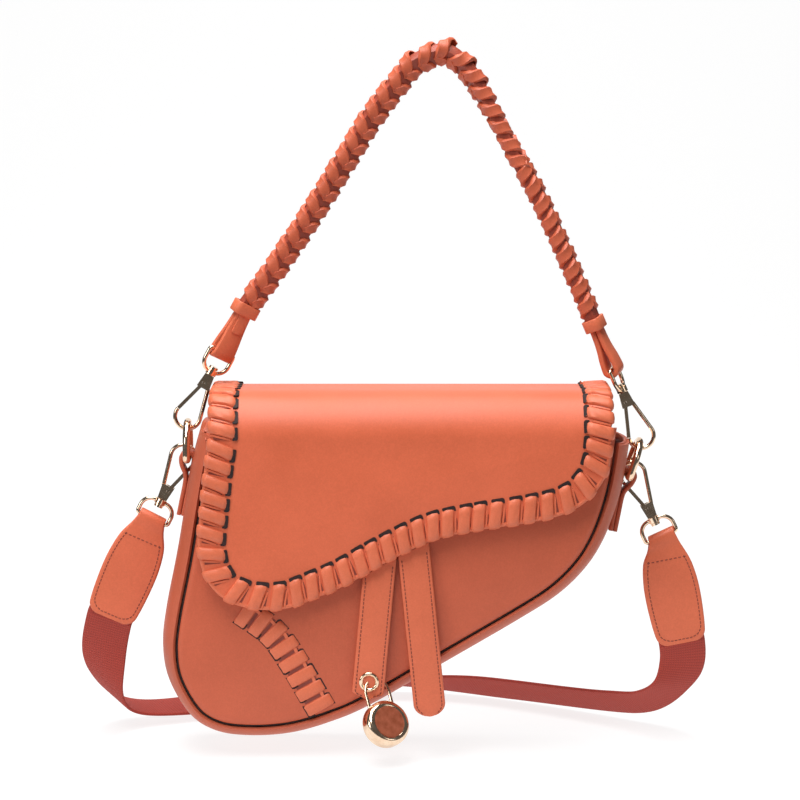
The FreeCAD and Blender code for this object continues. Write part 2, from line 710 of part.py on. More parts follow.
def clasp_gate():
    """The sprung bar that closes the bow, with its eye on the pin."""
    pivot, latch = clasp_pivot(), clasp_latch()
    length = pivot.distanceToPoint(latch) - CLASP_GAP
    eye = Part.makeCylinder(GATE * GATE_EYE_SHARE, GATE_DEPTH, -BACKWARD * (GATE_DEPTH / 2), BACKWARD)
    bar = box_between(
        FreeCAD.Vector(-GATE / 2, -GATE_DEPTH / 2, 0), FreeCAD.Vector(GATE / 2, GATE_DEPTH / 2, length),
    )
    hole = Part.makeCylinder(PIN + POST_CLEARANCE, OVERRUN, -BACKWARD * (OVERRUN / 2), BACKWARD)
    along = (latch - pivot).normalize()
    return framed(eye.fuse(bar).cut(hole), pivot, FreeCAD.Vector(along.z, 0, -along.x), along)


def clasp_pin():
    start = clasp_pivot() - BACKWARD * (BLOCK_DEPTH / 2 + PIN_PROUD)
    return Part.makeCylinder(PIN, BLOCK_DEPTH + PIN_PROUD * 2, start, BACKWARD)


def loop_path(half, rise, rounding):
    """The middle line of a swivel loop: round towards the post, square at its bar."""
    low = BOSS / 2
    cut = rounding * (1 - math.sqrt(HALF_SHARE))
    notch = LOOP_CORNER * (1 - math.sqrt(HALF_SHARE))

    def at(x, z):
        return FreeCAD.Vector(x, 0, z)
    right = [
        Part.makeLine(at(0, low), at(half - rounding, low)),
        Part.Arc(at(half - rounding, low), at(half - cut, low + cut), at(half, low + rounding)).toShape(),
        Part.makeLine(at(half, low + rounding), at(half, rise - LOOP_CORNER)),
        Part.Arc(
            at(half, rise - LOOP_CORNER), at(half - notch, rise - notch), at(half - LOOP_CORNER, rise),
        ).toShape(),
        Part.makeLine(at(half - LOOP_CORNER, rise), at(LOOP_CORNER - half, rise)),
    ]
    left = [
        Part.Arc(
            at(LOOP_CORNER - half, rise), at(notch - half, rise - notch), at(-half, rise - LOOP_CORNER),
        ).toShape(),
        Part.makeLine(at(-half, rise - LOOP_CORNER), at(-half, low + rounding)),
        Part.Arc(at(-half, low + rounding), at(cut - half, low + cut), at(rounding - half, low)).toShape(),
        Part.makeLine(at(rounding - half, low), at(0, low)),
    ]
    return right + left


def swivel_loop(half, rise, rounding):
    """A wire loop with a bored boss for the clasp's post."""
    boss = Part.makeCylinder(BOSS_RADIUS, BOSS)
    bore = Part.makeCylinder(POST + POST_CLEARANCE, OVERRUN, FreeCAD.Vector(0, 0, -OVERRUN / 2))
    return tube(loop_path(half, rise, rounding), LOOP_WIRE).fuse(boss).cut(bore)


def square_to(along):
    """The direction in the front plane square to another, to its right."""
    return FreeCAD.Vector(along.z, 0, -along.x)


LEFT_BAR = ring_bar(LEFT_RING_DROP, -1)
RIGHT_BAR = ring_bar(RIGHT_RING_DROP, 1)
HANG = RING_TOP - RING_WIRE - WIRE - RING_PLAY
LEFT_HANG = LEFT_BAR + leaning(LEFT_RING_LEAN) * HANG
RIGHT_HANG = RIGHT_BAR + leaning(RIGHT_RING_LEAN) * HANG
STRAP_SHIFT = BACKWARD * STRAP_CLASP_BACK - UPWARD * STRAP_CLASP_DOWN
# Each clasp: the middle of its bow, the way its post points and the side its leg is on
CLASPS = {
    "handle_left": (LEFT_HANG + leaning(LEFT_RING_LEAN) * BOW, leaning(LEFT_CLASP_LEAN), 1),
    "handle_right": (RIGHT_HANG + leaning(RIGHT_RING_LEAN) * BOW, leaning(RIGHT_CLASP_LEAN), 1),
    "strap_left": (LEFT_BAR + STRAP_SHIFT - RIGHTWARD * STRAP_CLASP_OUT, leaning(LEFT_STRAP_LEAN), 1),
    "strap_right": (RIGHT_BAR + STRAP_SHIFT + RIGHTWARD * STRAP_CLASP_OUT, leaning(RIGHT_STRAP_LEAN), -1),
}


# Handle
def loop_bar(name, rise, beyond=0):
    """The middle of the bar of the loop on a clasp's post, or a place beyond it in line with the post."""
    middle, along = CLASPS[name][:2]
    return middle + along * (CLASP_REACH + rise + beyond)


LEFT_KEEPER = loop_bar("handle_left", HANDLE_LOOP_RISE, END_LENGTH)
RIGHT_KEEPER = loop_bar("handle_right", HANDLE_LOOP_RISE, END_LENGTH)
ARCH = spline([
    LEFT_KEEPER + (RIGHT_KEEPER - LEFT_KEEPER) * x + UPWARD * (HANDLE_RISE * z) for x, z in ARCH_SHARES
])


def twist_at(share):
    """How far the handle's broad side has turned from facing sideways, at a share of its length."""
    part = (share - TWIST_START_SHARE) / (TWIST_END_SHARE - TWIST_START_SHARE)
    part = min(1.0, max(0.0, part))
    ease = part * part * (3 - part * 2)
    return math.radians(LEFT_TWIST + (RIGHT_TWIST - LEFT_TWIST) * ease)


def broad_way(along, share):
    """The direction of the handle's width where it runs along a direction."""
    twist = twist_at(share)
    return square_to(along) * math.cos(twist) + BACKWARD * math.sin(twist)


def handle_places(count):
    """Evenly spaced places on the arch, each with its direction and its share of the length."""
    run = samples(ARCH, FINE_STEPS)
    along = lengthwise([at for at, way in run])
    places = []
    for i in range(count):
        share = i / (count - 1)
        nearest = min(range(FINE_STEPS), key=lambda k: abs(along[k] - along[-1] * share))
        places.append((run[nearest][0], run[nearest][1], share))
    return places


def oblong(middle, wide, deep):
    """A four-sided section given by its half-width and half-depth directions."""
    corners = [middle + wide + deep, middle - wide + deep, middle - wide - deep, middle + wide - deep]
    return Part.makePolygon(corners + corners[:1])


def handle_core():
    """The padded strap inside the lacing, which turns as it goes over the arch."""
    rings = []
    last = HANDLE_STATIONS - 1
    ends = {0: CLASPS["handle_left"][1], last: -CLASPS["handle_right"][1]}
    for i, (at, way, share) in enumerate(handle_places(HANDLE_STATIONS)):
        way = ends.get(i, way)
        wide = broad_way(way, share)
        rings.append(oblong(at, wide * (HANDLE_WIDTH / 2), way.cross(wide) * (HANDLE_DEPTH / 2)))
    return Part.makeLoft(rings, True, True)


def sleeve(width, depth, length, wall, ease):
    """A short square tube round a strap, centred on the origin with its length along Z."""
    gap = FreeCAD.Vector(width / 2 + ease, depth / 2 + ease, 0)
    skin = gap + FreeCAD.Vector(wall, wall, 0)
    half = UPWARD * (length / 2)
    hollow = box_between(-gap - half * 2, gap + half * 2)
    return box_between(-skin - half, skin + half).cut(hollow)


def handle_lacing(core):
    wrap = sleeve(HANDLE_WIDTH, HANDLE_DEPTH, WRAP_WIDTH, LACE, WRAP_EASE)
    places = handle_places(HANDLE_WRAPS + 2)[1:-1]
    return [framed(wrap, at, broad_way(way, share), way).cut(core) for at, way, share in places]


def handle_keeper(at, along, share, core):
    band = sleeve(HANDLE_WIDTH, HANDLE_DEPTH, KEEPER_LENGTH, KEEPER, KEEPER_EASE)
    return framed(band, at, broad_way(along, share), along).cut(core)


def handle_end(name, share, turn):
    """The strap folded round the loop's bar, two layers thick up to the keeper."""
    along = CLASPS[name][1]
    half = HANDLE_DEPTH / 2
    x = -END_WIDTH / 2
    left, right = FreeCAD.Vector(x, -END_EYE, 0), FreeCAD.Vector(x, END_EYE, 0)
    top = [FreeCAD.Vector(x, half, END_LENGTH), FreeCAD.Vector(x, -half, END_LENGTH)]
    profile = Part.Wire([
        Part.Arc(left, FreeCAD.Vector(x, 0, -END_EYE), right).toShape(),
        Part.makeLine(right, top[0]), Part.makeLine(top[0], top[1]), Part.makeLine(top[1], left),
    ])
    body = Part.Face(profile).extrude(RIGHTWARD * END_WIDTH)
    eye = Part.makeCylinder(LOOP_WIRE + LOOP_EASE, OVERRUN * 2, -RIGHTWARD * OVERRUN, RIGHTWARD)
    bar = loop_bar(name, HANDLE_LOOP_RISE)
    return framed(body.cut(eye), bar, broad_way(along * turn, share), along)


GRIP = max((at for at, way in samples(ARCH, FINE_STEPS)), key=lambda at: at.z)
GRIP = GRIP - UPWARD * (HANDLE_DEPTH / 2 + WRAP_EASE + LACE)


# Webbing strap
def strap_end_frame(name, lean):
    """The loop's bar, the way the strap end hangs from it and the place of its lower edge."""
    bar = loop_bar(name, STRAP_LOOP_RISE)
    hang = leaning(lean)
    return bar, hang, bar + hang * END_TAB_LENGTH


def strap_end(name, lean):
    """Leather folded round the loop's bar and sewn over the end of the webbing."""
    bar, hang = strap_end_frame(name, lean)[:2]
    half = END_TAB_DEPTH / 2
    right = [FreeCAD.Vector(END_TAB_NECK / 2, -half, 0)]
    right += [FreeCAD.Vector(w * END_TAB_WIDTH / 2, -half, s * END_TAB_LENGTH) for s, w in END_TAB_SHARES]
    left = [FreeCAD.Vector(-p.x, p.y, p.z) for p in reversed(right)]
    sides = [spline(right).toShape(), Part.makeLine(right[-1], left[0])]
    sides += [spline(left).toShape(), Part.makeLine(left[-1], right[0])]
    body = Part.Face(Part.Wire(sides)).extrude(BACKWARD * END_TAB_DEPTH)
    slot = FreeCAD.Vector(STRAP_WIDTH / 2 + STRAP_EASE, WEBBING / 2 + STRAP_EASE, 0)
    pocket = box_between(
        -slot + UPWARD * (END_TAB_LENGTH - END_TAB_SLOT - STRAP_EASE),
        slot + UPWARD * (END_TAB_LENGTH + OVERRUN),
    )
    tab = framed(body.cut(pocket), bar, square_to(hang), hang)
    across = square_to(CLASPS[name][1])
    fold = Part.makeCylinder(END_TAB_EYE, END_TAB_NECK, bar - across * (END_TAB_NECK / 2), across)
    bore = Part.makeCylinder(LOOP_WIRE + LOOP_EASE, OVERRUN * 2, bar - across * OVERRUN, across)
    return tab.fuse(fold).cut(bore).removeSplitter()


def webbing():
    """A flat band from one leather end, down to the table, round behind the bag and up to the other."""
    ends = [strap_end_frame("strap_left", LEFT_END_LEAN), strap_end_frame("strap_right", RIGHT_END_LEAN)]
    places = [
        FreeCAD.Vector(x * STRAP_SPAN, y * STRAP_BACK, z * STRAP_TABLE) for x, y, z in STRAP_ROUTE_SHARES
    ]
    places = [ends[0][2]] + places + [ends[1][2]]
    left_lie = -square_to(ends[0][1])
    right_lie = square_to(ends[1][1])
    lies = [left_lie] + [FreeCAD.Vector(*lie) for lie in STRAP_LIE_SHARES] + [right_lie]
    marks = lengthwise(places)
    route, turning = Part.BSplineCurve(), Part.BSplineCurve()
    route.interpolate(Points=places, Parameters=marks)
    turning.interpolate(Points=lies, Parameters=marks)
    run = zip(samples(route, STRAP_STATIONS), samples(turning, STRAP_STATIONS))
    stations = [(place[0], place[1], lie[0]) for place, lie in run]
    start = (ends[0][2] - ends[0][1] * END_TAB_SLOT, ends[0][1], left_lie)
    first = (ends[0][2], ends[0][1], left_lie)
    last = (ends[1][2], -ends[1][1], right_lie)
    finish = (ends[1][2] - ends[1][1] * END_TAB_SLOT, -ends[1][1], right_lie)
    rings = []
    for at, way, lie in [start, first] + stations[1:-1] + [last, finish]:
        wide = lie - way * lie.dot(way)
        wide.normalize()
        rings.append(oblong(at, wide * (STRAP_WIDTH / 2), way.cross(wide) * (WEBBING / 2)))
    return Part.makeLoft(rings, True, True)


# The pieces, written one file to a node
def save_bag():
    band = gusset()
    roof = flap_roof()
    save("front_panel", [front_panel()])
    save("back_panel", [back_panel(roof)])
    save("gusset", [band])
    save("lining", [lining()])
    save("flap_roof", [roof])
    save("roof_lacing", roof_lacing(roof))
    save("front_lacing", front_lacing())
    middle = (FLAP_BACK - HALF_DEPTH) / 2
    save("snap_socket", [snap_half(middle + SNAP_GAP / 2, -HALF_DEPTH)])
    save("left_ring_tab", [ring_tab(LEFT_RING_DROP, -1, band)])
    save("right_ring_tab", [ring_tab(RIGHT_RING_DROP, 1, band)])
    save("left_ring", [ring(LEFT_BAR, LEFT_RING_LEAN)])
    save("right_ring", [ring(RIGHT_BAR, RIGHT_RING_LEAN)])
    flap = flap_panel()
    save("flap_panel", [flap])
    save("flap_lacing", flap_lacing(flap))
    save("snap_button", [snap_half(FLAP_BACK, middle - SNAP_GAP / 2)])


def save_tongues():
    save("left_tongue", [left_tongue()])
    save("right_tongue", [tongue(RIGHT_TONGUE_SHARE, RIGHT_TONGUE_LEAN, RIGHT_TONGUE_LENGTH, True)])
    save("eyelet", [eyelet()])
    save("lock_shackle", [lock_shackle()])
    save("lock_body", [lock_body()])


def save_clasps():
    handle_size = (HANDLE_LOOP_HALF, HANDLE_LOOP_RISE, HANDLE_LOOP_ROUND)
    strap_size = (STRAP_LOOP_HALF, STRAP_LOOP_RISE, STRAP_LOOP_ROUND)
    loops = {
        "handle_left": (handle_size, broad_way(CLASPS["handle_left"][1], 0)),
        "handle_right": (handle_size, broad_way(-CLASPS["handle_right"][1], 1)),
        "strap_left": (strap_size, square_to(CLASPS["strap_left"][1])),
        "strap_right": (strap_size, square_to(CLASPS["strap_right"][1])),
    }
    for name, (middle, along, side) in CLASPS.items():
        across = square_to(along) * side
        save(name + "_hook", [framed(clasp_hook(), middle, across, along)])
        save(name + "_gate", [framed(clasp_gate(), middle, across, along)])
        save(name + "_pin", [framed(clasp_pin(), middle, across, along)])
        size, wide = loops[name]
        save(name + "_loop", [framed(swivel_loop(*size), middle + along * CLASP_REACH, wide, along)])


def save_handle():
    core = handle_core()
    save("handle_core", [core])
    save("handle_lacing", handle_lacing(core))
    save("left_keeper", [handle_keeper(LEFT_KEEPER, CLASPS["handle_left"][1], 0, core)])
    save("right_keeper", [handle_keeper(RIGHT_KEEPER, -CLASPS["handle_right"][1], 1, core)])
    save("left_handle_end", [handle_end("handle_left", 0, 1)])
    save("right_handle_end", [handle_end("handle_right", 1, -1)])


def save_strap():
    save("left_strap_end", [strap_end("strap_left", LEFT_END_LEAN)])
    save("right_strap_end", [strap_end("strap_right", RIGHT_END_LEAN)])
    save("strap_webbing", [webbing()])


save_bag()
save_tongues()
save_clasps()
save_handle()
save_strap()
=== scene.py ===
import json
import math
import bmesh
import bpy
from mathutils import Matrix, Vector


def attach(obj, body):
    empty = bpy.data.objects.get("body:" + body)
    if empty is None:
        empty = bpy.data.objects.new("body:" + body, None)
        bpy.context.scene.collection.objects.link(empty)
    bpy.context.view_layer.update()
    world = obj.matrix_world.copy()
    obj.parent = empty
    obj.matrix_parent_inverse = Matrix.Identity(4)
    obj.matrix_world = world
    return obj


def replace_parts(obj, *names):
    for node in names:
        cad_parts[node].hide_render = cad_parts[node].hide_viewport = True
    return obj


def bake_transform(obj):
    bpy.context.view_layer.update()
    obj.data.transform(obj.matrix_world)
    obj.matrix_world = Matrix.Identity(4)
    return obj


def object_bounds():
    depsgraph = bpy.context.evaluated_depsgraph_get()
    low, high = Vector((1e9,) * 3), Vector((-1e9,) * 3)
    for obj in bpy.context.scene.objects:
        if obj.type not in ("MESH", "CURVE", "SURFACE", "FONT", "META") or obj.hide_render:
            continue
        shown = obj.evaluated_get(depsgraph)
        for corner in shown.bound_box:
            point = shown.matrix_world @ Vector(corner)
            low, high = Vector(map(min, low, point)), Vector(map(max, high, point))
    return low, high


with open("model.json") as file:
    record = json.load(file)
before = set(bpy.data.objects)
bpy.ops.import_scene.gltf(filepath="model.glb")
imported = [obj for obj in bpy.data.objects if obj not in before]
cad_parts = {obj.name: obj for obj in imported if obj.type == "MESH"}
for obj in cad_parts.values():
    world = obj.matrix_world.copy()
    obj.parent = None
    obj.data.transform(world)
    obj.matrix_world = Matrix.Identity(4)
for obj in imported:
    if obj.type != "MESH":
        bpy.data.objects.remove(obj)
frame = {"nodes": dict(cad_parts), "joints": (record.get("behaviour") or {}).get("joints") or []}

cad_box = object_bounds()
joints = {joint["name"]: joint for joint in frame["joints"]}
# All places below are millimetres from the middle of the bag's top line, as a maker marks out a pattern:
# x to the right of the front, y to the back, z up.
FOLD_Y = -16.0
PATTERN_ZERO = Vector(joints["flap_fold"]["pos_m"]) - Vector((0, FOLD_Y, 0)) / 1000


def place(x, y, z):
    """A place on the pattern, in the frame's metres."""
    return PATTERN_ZERO + Vector((x, y, z)) / 1000


def pattern(point):
    """A place in the frame's metres, back on the pattern."""
    return (Vector(point) - PATTERN_ZERO) * 1000


# Studio
# The bag is photographed on a seamless white sweep, under big soft lights, from a little above its front.
VIEW_RISE = math.radians(7)
VIEW_DISTANCE, VIEW_WIDTH = 1.5, 0.432
AIM_DROP = 7.5
aim = place(0, 0, -AIM_DROP)
lens = bpy.data.cameras.new("front_camera")
lens.sensor_width = 36.0
lens.lens = lens.sensor_width * VIEW_DISTANCE / VIEW_WIDTH
camera = bpy.data.objects.new("front_camera", lens)
back_off = Vector((0, -math.cos(VIEW_RISE), math.sin(VIEW_RISE)))
camera.location = aim + back_off * VIEW_DISTANCE
camera.rotation_euler = back_off.to_track_quat("Z", "Y").to_euler()
bpy.context.scene.collection.objects.link(camera)
bpy.context.scene.camera = camera
bpy.context.scene.view_settings.view_transform = "Standard"


SHARP_TURN = math.radians(50)


def add_piece(name, corners, faces, smooth=True):
    """A new object from corner points in metres and faces, with its sharper edges kept crisp."""
    mesh = bpy.data.meshes.new(name)
    mesh.from_pydata([tuple(c) for c in corners], [], faces)
    mesh.polygons.foreach_set("use_smooth", [smooth] * len(mesh.polygons))
    mesh.set_sharp_from_angle(angle=SHARP_TURN)
    mesh.update()
    piece = bpy.data.objects.new(name, mesh)
    bpy.context.scene.collection.objects.link(piece)
    return piece


def grid_faces(rows, columns, around=False):
    """Quads between rows of corners; around joins each row's last corner to its first."""
    last = columns if around else columns - 1
    return [
        (r * columns + c, r * columns + (c + 1) % columns,
         (r + 1) * columns + (c + 1) % columns, (r + 1) * columns + c)
        for r in range(rows - 1) for c in range(last)
    ]


class NodeTree:
    """A tree whose nodes are added one call at a time."""

    def __init__(self, tree):
        self.tree = tree

    def node(self, kind, settings=None, inputs=None, output=0):
        """A node of a kind, its settings made first, then its sockets given values or links."""
        node = self.tree.nodes.new(kind)
        for key, value in (settings or {}).items():
            if key == "stops":
                ramp = node.color_ramp.elements
                while len(ramp) < len(value):
                    ramp.new(1.0)
                for element, (position, colour) in zip(ramp, value):
                    element.position, element.color = position, (*colour, 1.0)
            else:
                setattr(node, key, value)
        for key, value in (inputs or {}).items():
            self.feed(node.inputs[key], value)
        return Socket(self, node.outputs[output])

    def feed(self, socket, value):
        """Gives a socket a value or a link."""
        if isinstance(value, Socket):
            self.tree.links.new(value.socket, socket)
        else:
            socket.default_value = value


class Finish(NodeTree):
    """A material's nodes, from its place on the piece to its shader."""

    def __init__(self, name):
        self.material = bpy.data.materials.new(name)
        self.material.use_nodes = True
        super().__init__(self.material.node_tree)
        self.shader = self.tree.nodes["Principled BSDF"]

    def set(self, **values):
        """Feeds the shader's own sockets; an underscore in a name stands for a space."""
        for key, value in values.items():
            self.feed(self.shader.inputs[key.replace("_", " ")], value)
        return self.material

    def where(self):
        """The place on the piece."""
        return self.node("ShaderNodeTexCoord", output="Object")

    def noise(self, scale, detail=2.0):
        """Cloudy noise all over the piece."""
        return self.node(
            "ShaderNodeTexNoise", None, {"Vector": self.where(), "Scale": scale, "Detail": detail})

    def dye(self, value, *stops):
        """A colour that follows a value; each stop is a share and its colour."""
        return self.node("ShaderNodeValToRGB", {"stops": stops}, {"Fac": value})

    def bump(self, height, strength, distance):
        """A fine relief."""
        return self.node(
            "ShaderNodeBump", None, {"Height": height, "Strength": strength, "Distance": distance})


class Socket:
    """A node's output that can be used in sums."""

    def __init__(self, owner, socket):
        self.owner, self.socket = owner, socket

    def maths(self, operation, other=0.0):
        return self.owner.node("ShaderNodeMath", {"operation": operation}, {0: self, 1: other})

    def __add__(self, other):
        return self.maths("ADD", other)

    def __mul__(self, other):
        return self.maths("MULTIPLY", other)


def quarter_turn(steps):
    """The angles of a quarter circle, from nothing to a right angle."""
    return [math.pi / 2 * step / steps for step in range(steps + 1)]


paper = Finish("white_sweep")
paper_white = paper.set(Base_Color=(0.2, 0.2, 0.2, 1), Roughness=0.9, Emission_Color=(1, 1, 1, 1),
                        Emission_Strength=0.82)
SWEEP_HALF, SWEEP_FRONT, SWEEP_BACK, SWEEP_ROUND, SWEEP_TOP = 0.7, -0.38, 1.6, 0.6, 1.6
FLOOR_GAP = 0.010
floor_z = cad_box[0][2] - FLOOR_GAP
sweep_profile = [Vector((0, SWEEP_FRONT, floor_z))]
for turn in quarter_turn(16):
    sweep_profile.append(Vector((
        0, SWEEP_BACK - SWEEP_ROUND + SWEEP_ROUND * math.sin(turn),
        floor_z + SWEEP_ROUND - SWEEP_ROUND * math.cos(turn),
    )))
sweep_profile.append(Vector((0, SWEEP_BACK, SWEEP_TOP)))
sweep = add_piece(
    "studio_sweep",
    [point + Vector((side * SWEEP_HALF, 0, 0)) for side in (-1, 1) for point in sweep_profile],
    grid_faces(2, len(sweep_profile)),
)
sweep.data.materials.append(paper_white)

sky = bpy.data.worlds.new("white_room")
sky.use_nodes = True
sky.node_tree.nodes["Background"].inputs["Color"].default_value = (1, 0.99, 0.98, 1)
sky.node_tree.nodes["Background"].inputs["Strength"].default_value = 0.10
bpy.context.scene.world = sky


def add_light(name, spot, size, power):
    """A square soft light that faces the bag."""
    light = bpy.data.lights.new(name, "AREA")
    light.size, light.energy = size, power
    lamp = bpy.data.objects.new(name, light)
    lamp.location = aim + Vector(spot)
    lamp.rotation_euler = Vector(spot).to_track_quat("Z", "Y").to_euler()
    bpy.context.scene.collection.objects.link(lamp)


add_light("overhead_softbox", (-0.1, -0.05, 1.2), 1.0, 20)
add_light("high_front_softbox", (-0.35, -0.95, 1.3), 0.8, 15.5)
add_light("left_softbox", (-1.6, -1.2, 0.5), 0.7, 8)
add_light("right_softbox", (1.7, -1.3, 0.5), 0.5, 1.5)


# Bag shell
# Front and back panels of smooth coral calf leather, sewn edge to edge to a bulging gusset band. The front is
# a little padded, and its turned edge leaves a seam all the way round, drawn as a thin near-black tube:
# painted shade in the seam's groove, with some dark edge paint. A cloth lining makes the inside.
BODY_WIDTH, BODY_HEIGHT, HALF_DEPTH = 250.0, 188.0, 30.0
LEATHER = 2.0
GUSSET_BULGE, GUSSET_TOP, GUSSET_LEVELS, GUSSET_REACH = 8.0, -27.0, 29, 0.985
PANEL_ROLL, PANEL_PUFF, BACK_PUFF, PANEL_SKIN, PUFF_EASE = 4.0, 2.6, 1.0, 1.6, 2.4
PANEL_MIDDLE = Vector((-8, 0, -88))
OUTLINE_SHARES = [
    (-0.420, 0.106), (-0.441, 0.214), (-0.473, 0.460), (-0.500, 0.640), (-0.508, 0.745),
    (-0.496, 0.840), (-0.452, 0.940), (-0.395, 0.987), (-0.320, 1.000), (-0.233, 0.991),
    (-0.147, 0.958), (-0.065, 0.910), (0.086, 0.793), (0.259, 0.657), (0.341, 0.585),
    (0.398, 0.509), (0.434, 0.431), (0.460, 0.338), (0.477, 0.243), (0.492, 0.106),
]


def smooth_steps(points, steps=24):
    """Places on a smooth curve through the points, as many between each two."""
    padded = [points[0] * 2 - points[1]] + list(points) + [points[-1] * 2 - points[-2]]
    fine = []
    for a, b, c, d in zip(padded, padded[1:], padded[2:], padded[3:]):
        for step in range(steps):
            t = step / steps
            fine.append((b * 2 + (c - a) * t + (a * 2 - b * 5 + c * 4 - d) * t ** 2
                         + (b * 3 - a - c * 3 + d) * t ** 3) / 2)
    fine.append(points[-1])
    return fine


def travelled(run):
    """How far along a run each of its places is."""
    marks = [0.0]
    for a, b in zip(run, run[1:]):
        marks.append(marks[-1] + (b - a).length)
    return marks


def even_run(chain, count):
    """The chain of places again, with the same distance from each to the next."""
    marks = travelled(chain)
    found, k = [], 0
    for i in range(count):
        wanted = marks[-1] * i / (count - 1)
        while k < len(chain) - 2 and marks[k + 1] < wanted:
            k += 1
        gap = marks[k + 1] - marks[k] or 1.0
        found.append(chain[k].lerp(chain[k + 1], (wanted - marks[k]) / gap))
    return found


def smooth_run(points, count):
    """Evenly spaced places on a smooth curve through the points."""
    return even_run(smooth_steps(points), count)


def headings(run):
    """The direction of travel at each place of a run."""
    ahead = [run[1] - run[0]] + [c - a for a, c in zip(run, run[2:])] + [run[-1] - run[-2]]
    return [way.normalized() for way in ahead]


def left_of(way):
    """The direction square to another, on its left as seen from the front."""
    return Vector((-way.z, 0, way.x))


def moved_inward(run, distance):
    """A run that goes round the bag's bottom from left to right, moved into the bag."""
    return [at + left_of(way) * distance for at, way in zip(run, headings(run))]


def coral_leather(name, colour, depth=1.0, scuff=0.0):
    """Smooth satin calf leather: fine pebbled grain, a cloudy dye and softly changing polish."""
    finish = Finish(name)
    cloud, mottle, pore = finish.noise(38.0, 3.0), finish.noise(420.0), finish.noise(3400.0)
    pebble = finish.node("ShaderNodeTexVoronoi", {"feature": "SMOOTH_F1"},
                         {"Vector": finish.where(), "Scale": 1150.0, "Smoothness": 0.6})
    drawn = finish.node("ShaderNodeMapping", None, {"Vector": finish.where(), "Scale": (1.0, 0.15, 0.15)})
    crease = finish.node("ShaderNodeTexNoise", None, {"Vector": drawn, "Scale": 800.0, "Detail": 1.0})
    dark = tuple(c * 0.91 for c in colour)
    light = tuple(min(1.0, c * 1.06 + 0.004) for c in colour)
    return finish.set(
        Base_Color=finish.dye(cloud * 0.55 + mottle * 0.25 + pebble * 0.28, (0.30, dark), (0.70, light)),
        Roughness=cloud * 0.16 + mottle * 0.10 + (0.33 + scuff),
        Normal=finish.bump(pebble * 0.5 + pore * 0.3 + crease * 0.9, 0.22 * depth, 0.0003),
        Specular_IOR_Level=0.42,
    )


panel_leather = coral_leather("coral_panel_leather", (0.71, 0.140, 0.060))
# The panels take the flap's coral dyed darker: painted shade on the front and back panels.
shaded_shell_leather = coral_leather("coral_shell_leather", (0.565, 0.108, 0.047))
# The gusset band, its end hem and the ring strips take the same coral dyed darker: painted shade on the
# sides.
shaded_gusset_leather = coral_leather("coral_gusset_leather", (0.52, 0.105, 0.048), scuff=0.05)
# Near-black for the seam grooves, slits, hooks and lace holes: painted shade in those openings, with dark
# edge paint along the seams.
shade_finish = Finish("dark_seam")
painted_shade_and_edge_dark = shade_finish.set(
    Base_Color=shade_finish.dye(
        shade_finish.noise(300.0), (0.35, (0.010, 0.004, 0.004)), (0.75, (0.035, 0.010, 0.008))),
    Roughness=0.75,
)


def settle(piece, *modifiers):
    """Runs modifiers on a piece, each a kind and its settings, and keeps the result as its plain mesh."""
    for kind, settings in modifiers:
        modifier = piece.modifiers.new(kind.lower(), kind)
        for key, value in settings.items():
            setattr(modifier, key, value)
    depsgraph = bpy.context.evaluated_depsgraph_get()
    mesh = bpy.data.meshes.new_from_object(piece.evaluated_get(depsgraph), depsgraph=depsgraph)
    piece.modifiers.clear()
    mesh.set_sharp_from_angle(angle=SHARP_TURN)
    piece.data = mesh
    mesh.name = piece.name
    return piece


def wall(thickness):
    """The modifier that gives a sheet its thickness, in millimetres, behind its face."""
    return ("SOLIDIFY", {"thickness": thickness / 1000, "offset": -1.0})


def outfit(piece, material, slot, *bodies):
    """A piece's finish and what it moves with."""
    piece.data.materials.clear()
    piece.data.materials.append(material)
    for body in bodies:
        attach(piece, body)
    return piece


def dished_rings(loop, middle, insets, shares, height):
    """Corners and faces of a sheet inside a loop: rings close to the edge, then rings towards the middle."""
    rings = []
    for inset in insets:
        rings.append([(p + (middle - p).normalized() * inset, inset, 0.0) for p in loop])
    for share in shares:
        rings.append([(p.lerp(middle, share), insets[-1], share) for p, _, _ in rings[len(insets) - 1]])
    corners = [place(p.x, height(e, s), p.z) for ring in rings for p, e, s in ring]
    corners.append(place(middle.x, height(insets[-1], 1.0), middle.z))
    count = len(loop)
    faces = grid_faces(len(rings), count, around=True)
    tip, start = len(corners) - 1, (len(rings) - 1) * count
    faces += [(start + c, start + (c + 1) % count, tip) for c in range(count)]
    return corners, faces


OUTLINE = smooth_run([Vector((x * BODY_WIDTH, 0, -z * BODY_HEIGHT)) for x, z in OUTLINE_SHARES], 220)
panel_edge = moved_inward(OUTLINE, GUSSET_BULGE)
top_line = even_run([panel_edge[-1], panel_edge[0]], 60)[1:-1]
ROLL_INSETS = [0.0, 0.25, 0.7, 1.4, 2.4, 3.4, PANEL_ROLL]
MIDDLE_SHARES = [0.06, 0.12, 0.2, 0.3, 0.42, 0.56, 0.7, 0.84]


def panel_height(face, puff):
    """How far forward a panel's skin stands: a rolled edge, then a shallow cushion."""
    def height(inset, share):
        roll = LEATHER * math.sqrt(max(0.0, 1 - (1 - min(inset, PANEL_ROLL) / PANEL_ROLL) ** 2))
        return face * (HALF_DEPTH - LEATHER + roll + puff * (1 - (1 - share) ** PUFF_EASE))
    return height


for name, side, puff in (("front_panel_skin", -1, PANEL_PUFF), ("back_panel_skin", 1, BACK_PUFF)):
    corners, faces = dished_rings(
        panel_edge + top_line, PANEL_MIDDLE, ROLL_INSETS, MIDDLE_SHARES, panel_height(side, puff))
    if side > 0:
        faces = [tuple(reversed(face)) for face in faces]
    panel = settle(add_piece(name, corners, faces), wall(PANEL_SKIN))
    outfit(panel, shaded_shell_leather, "coral_leather", "bag")
    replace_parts(panel, name.replace("_skin", ""))


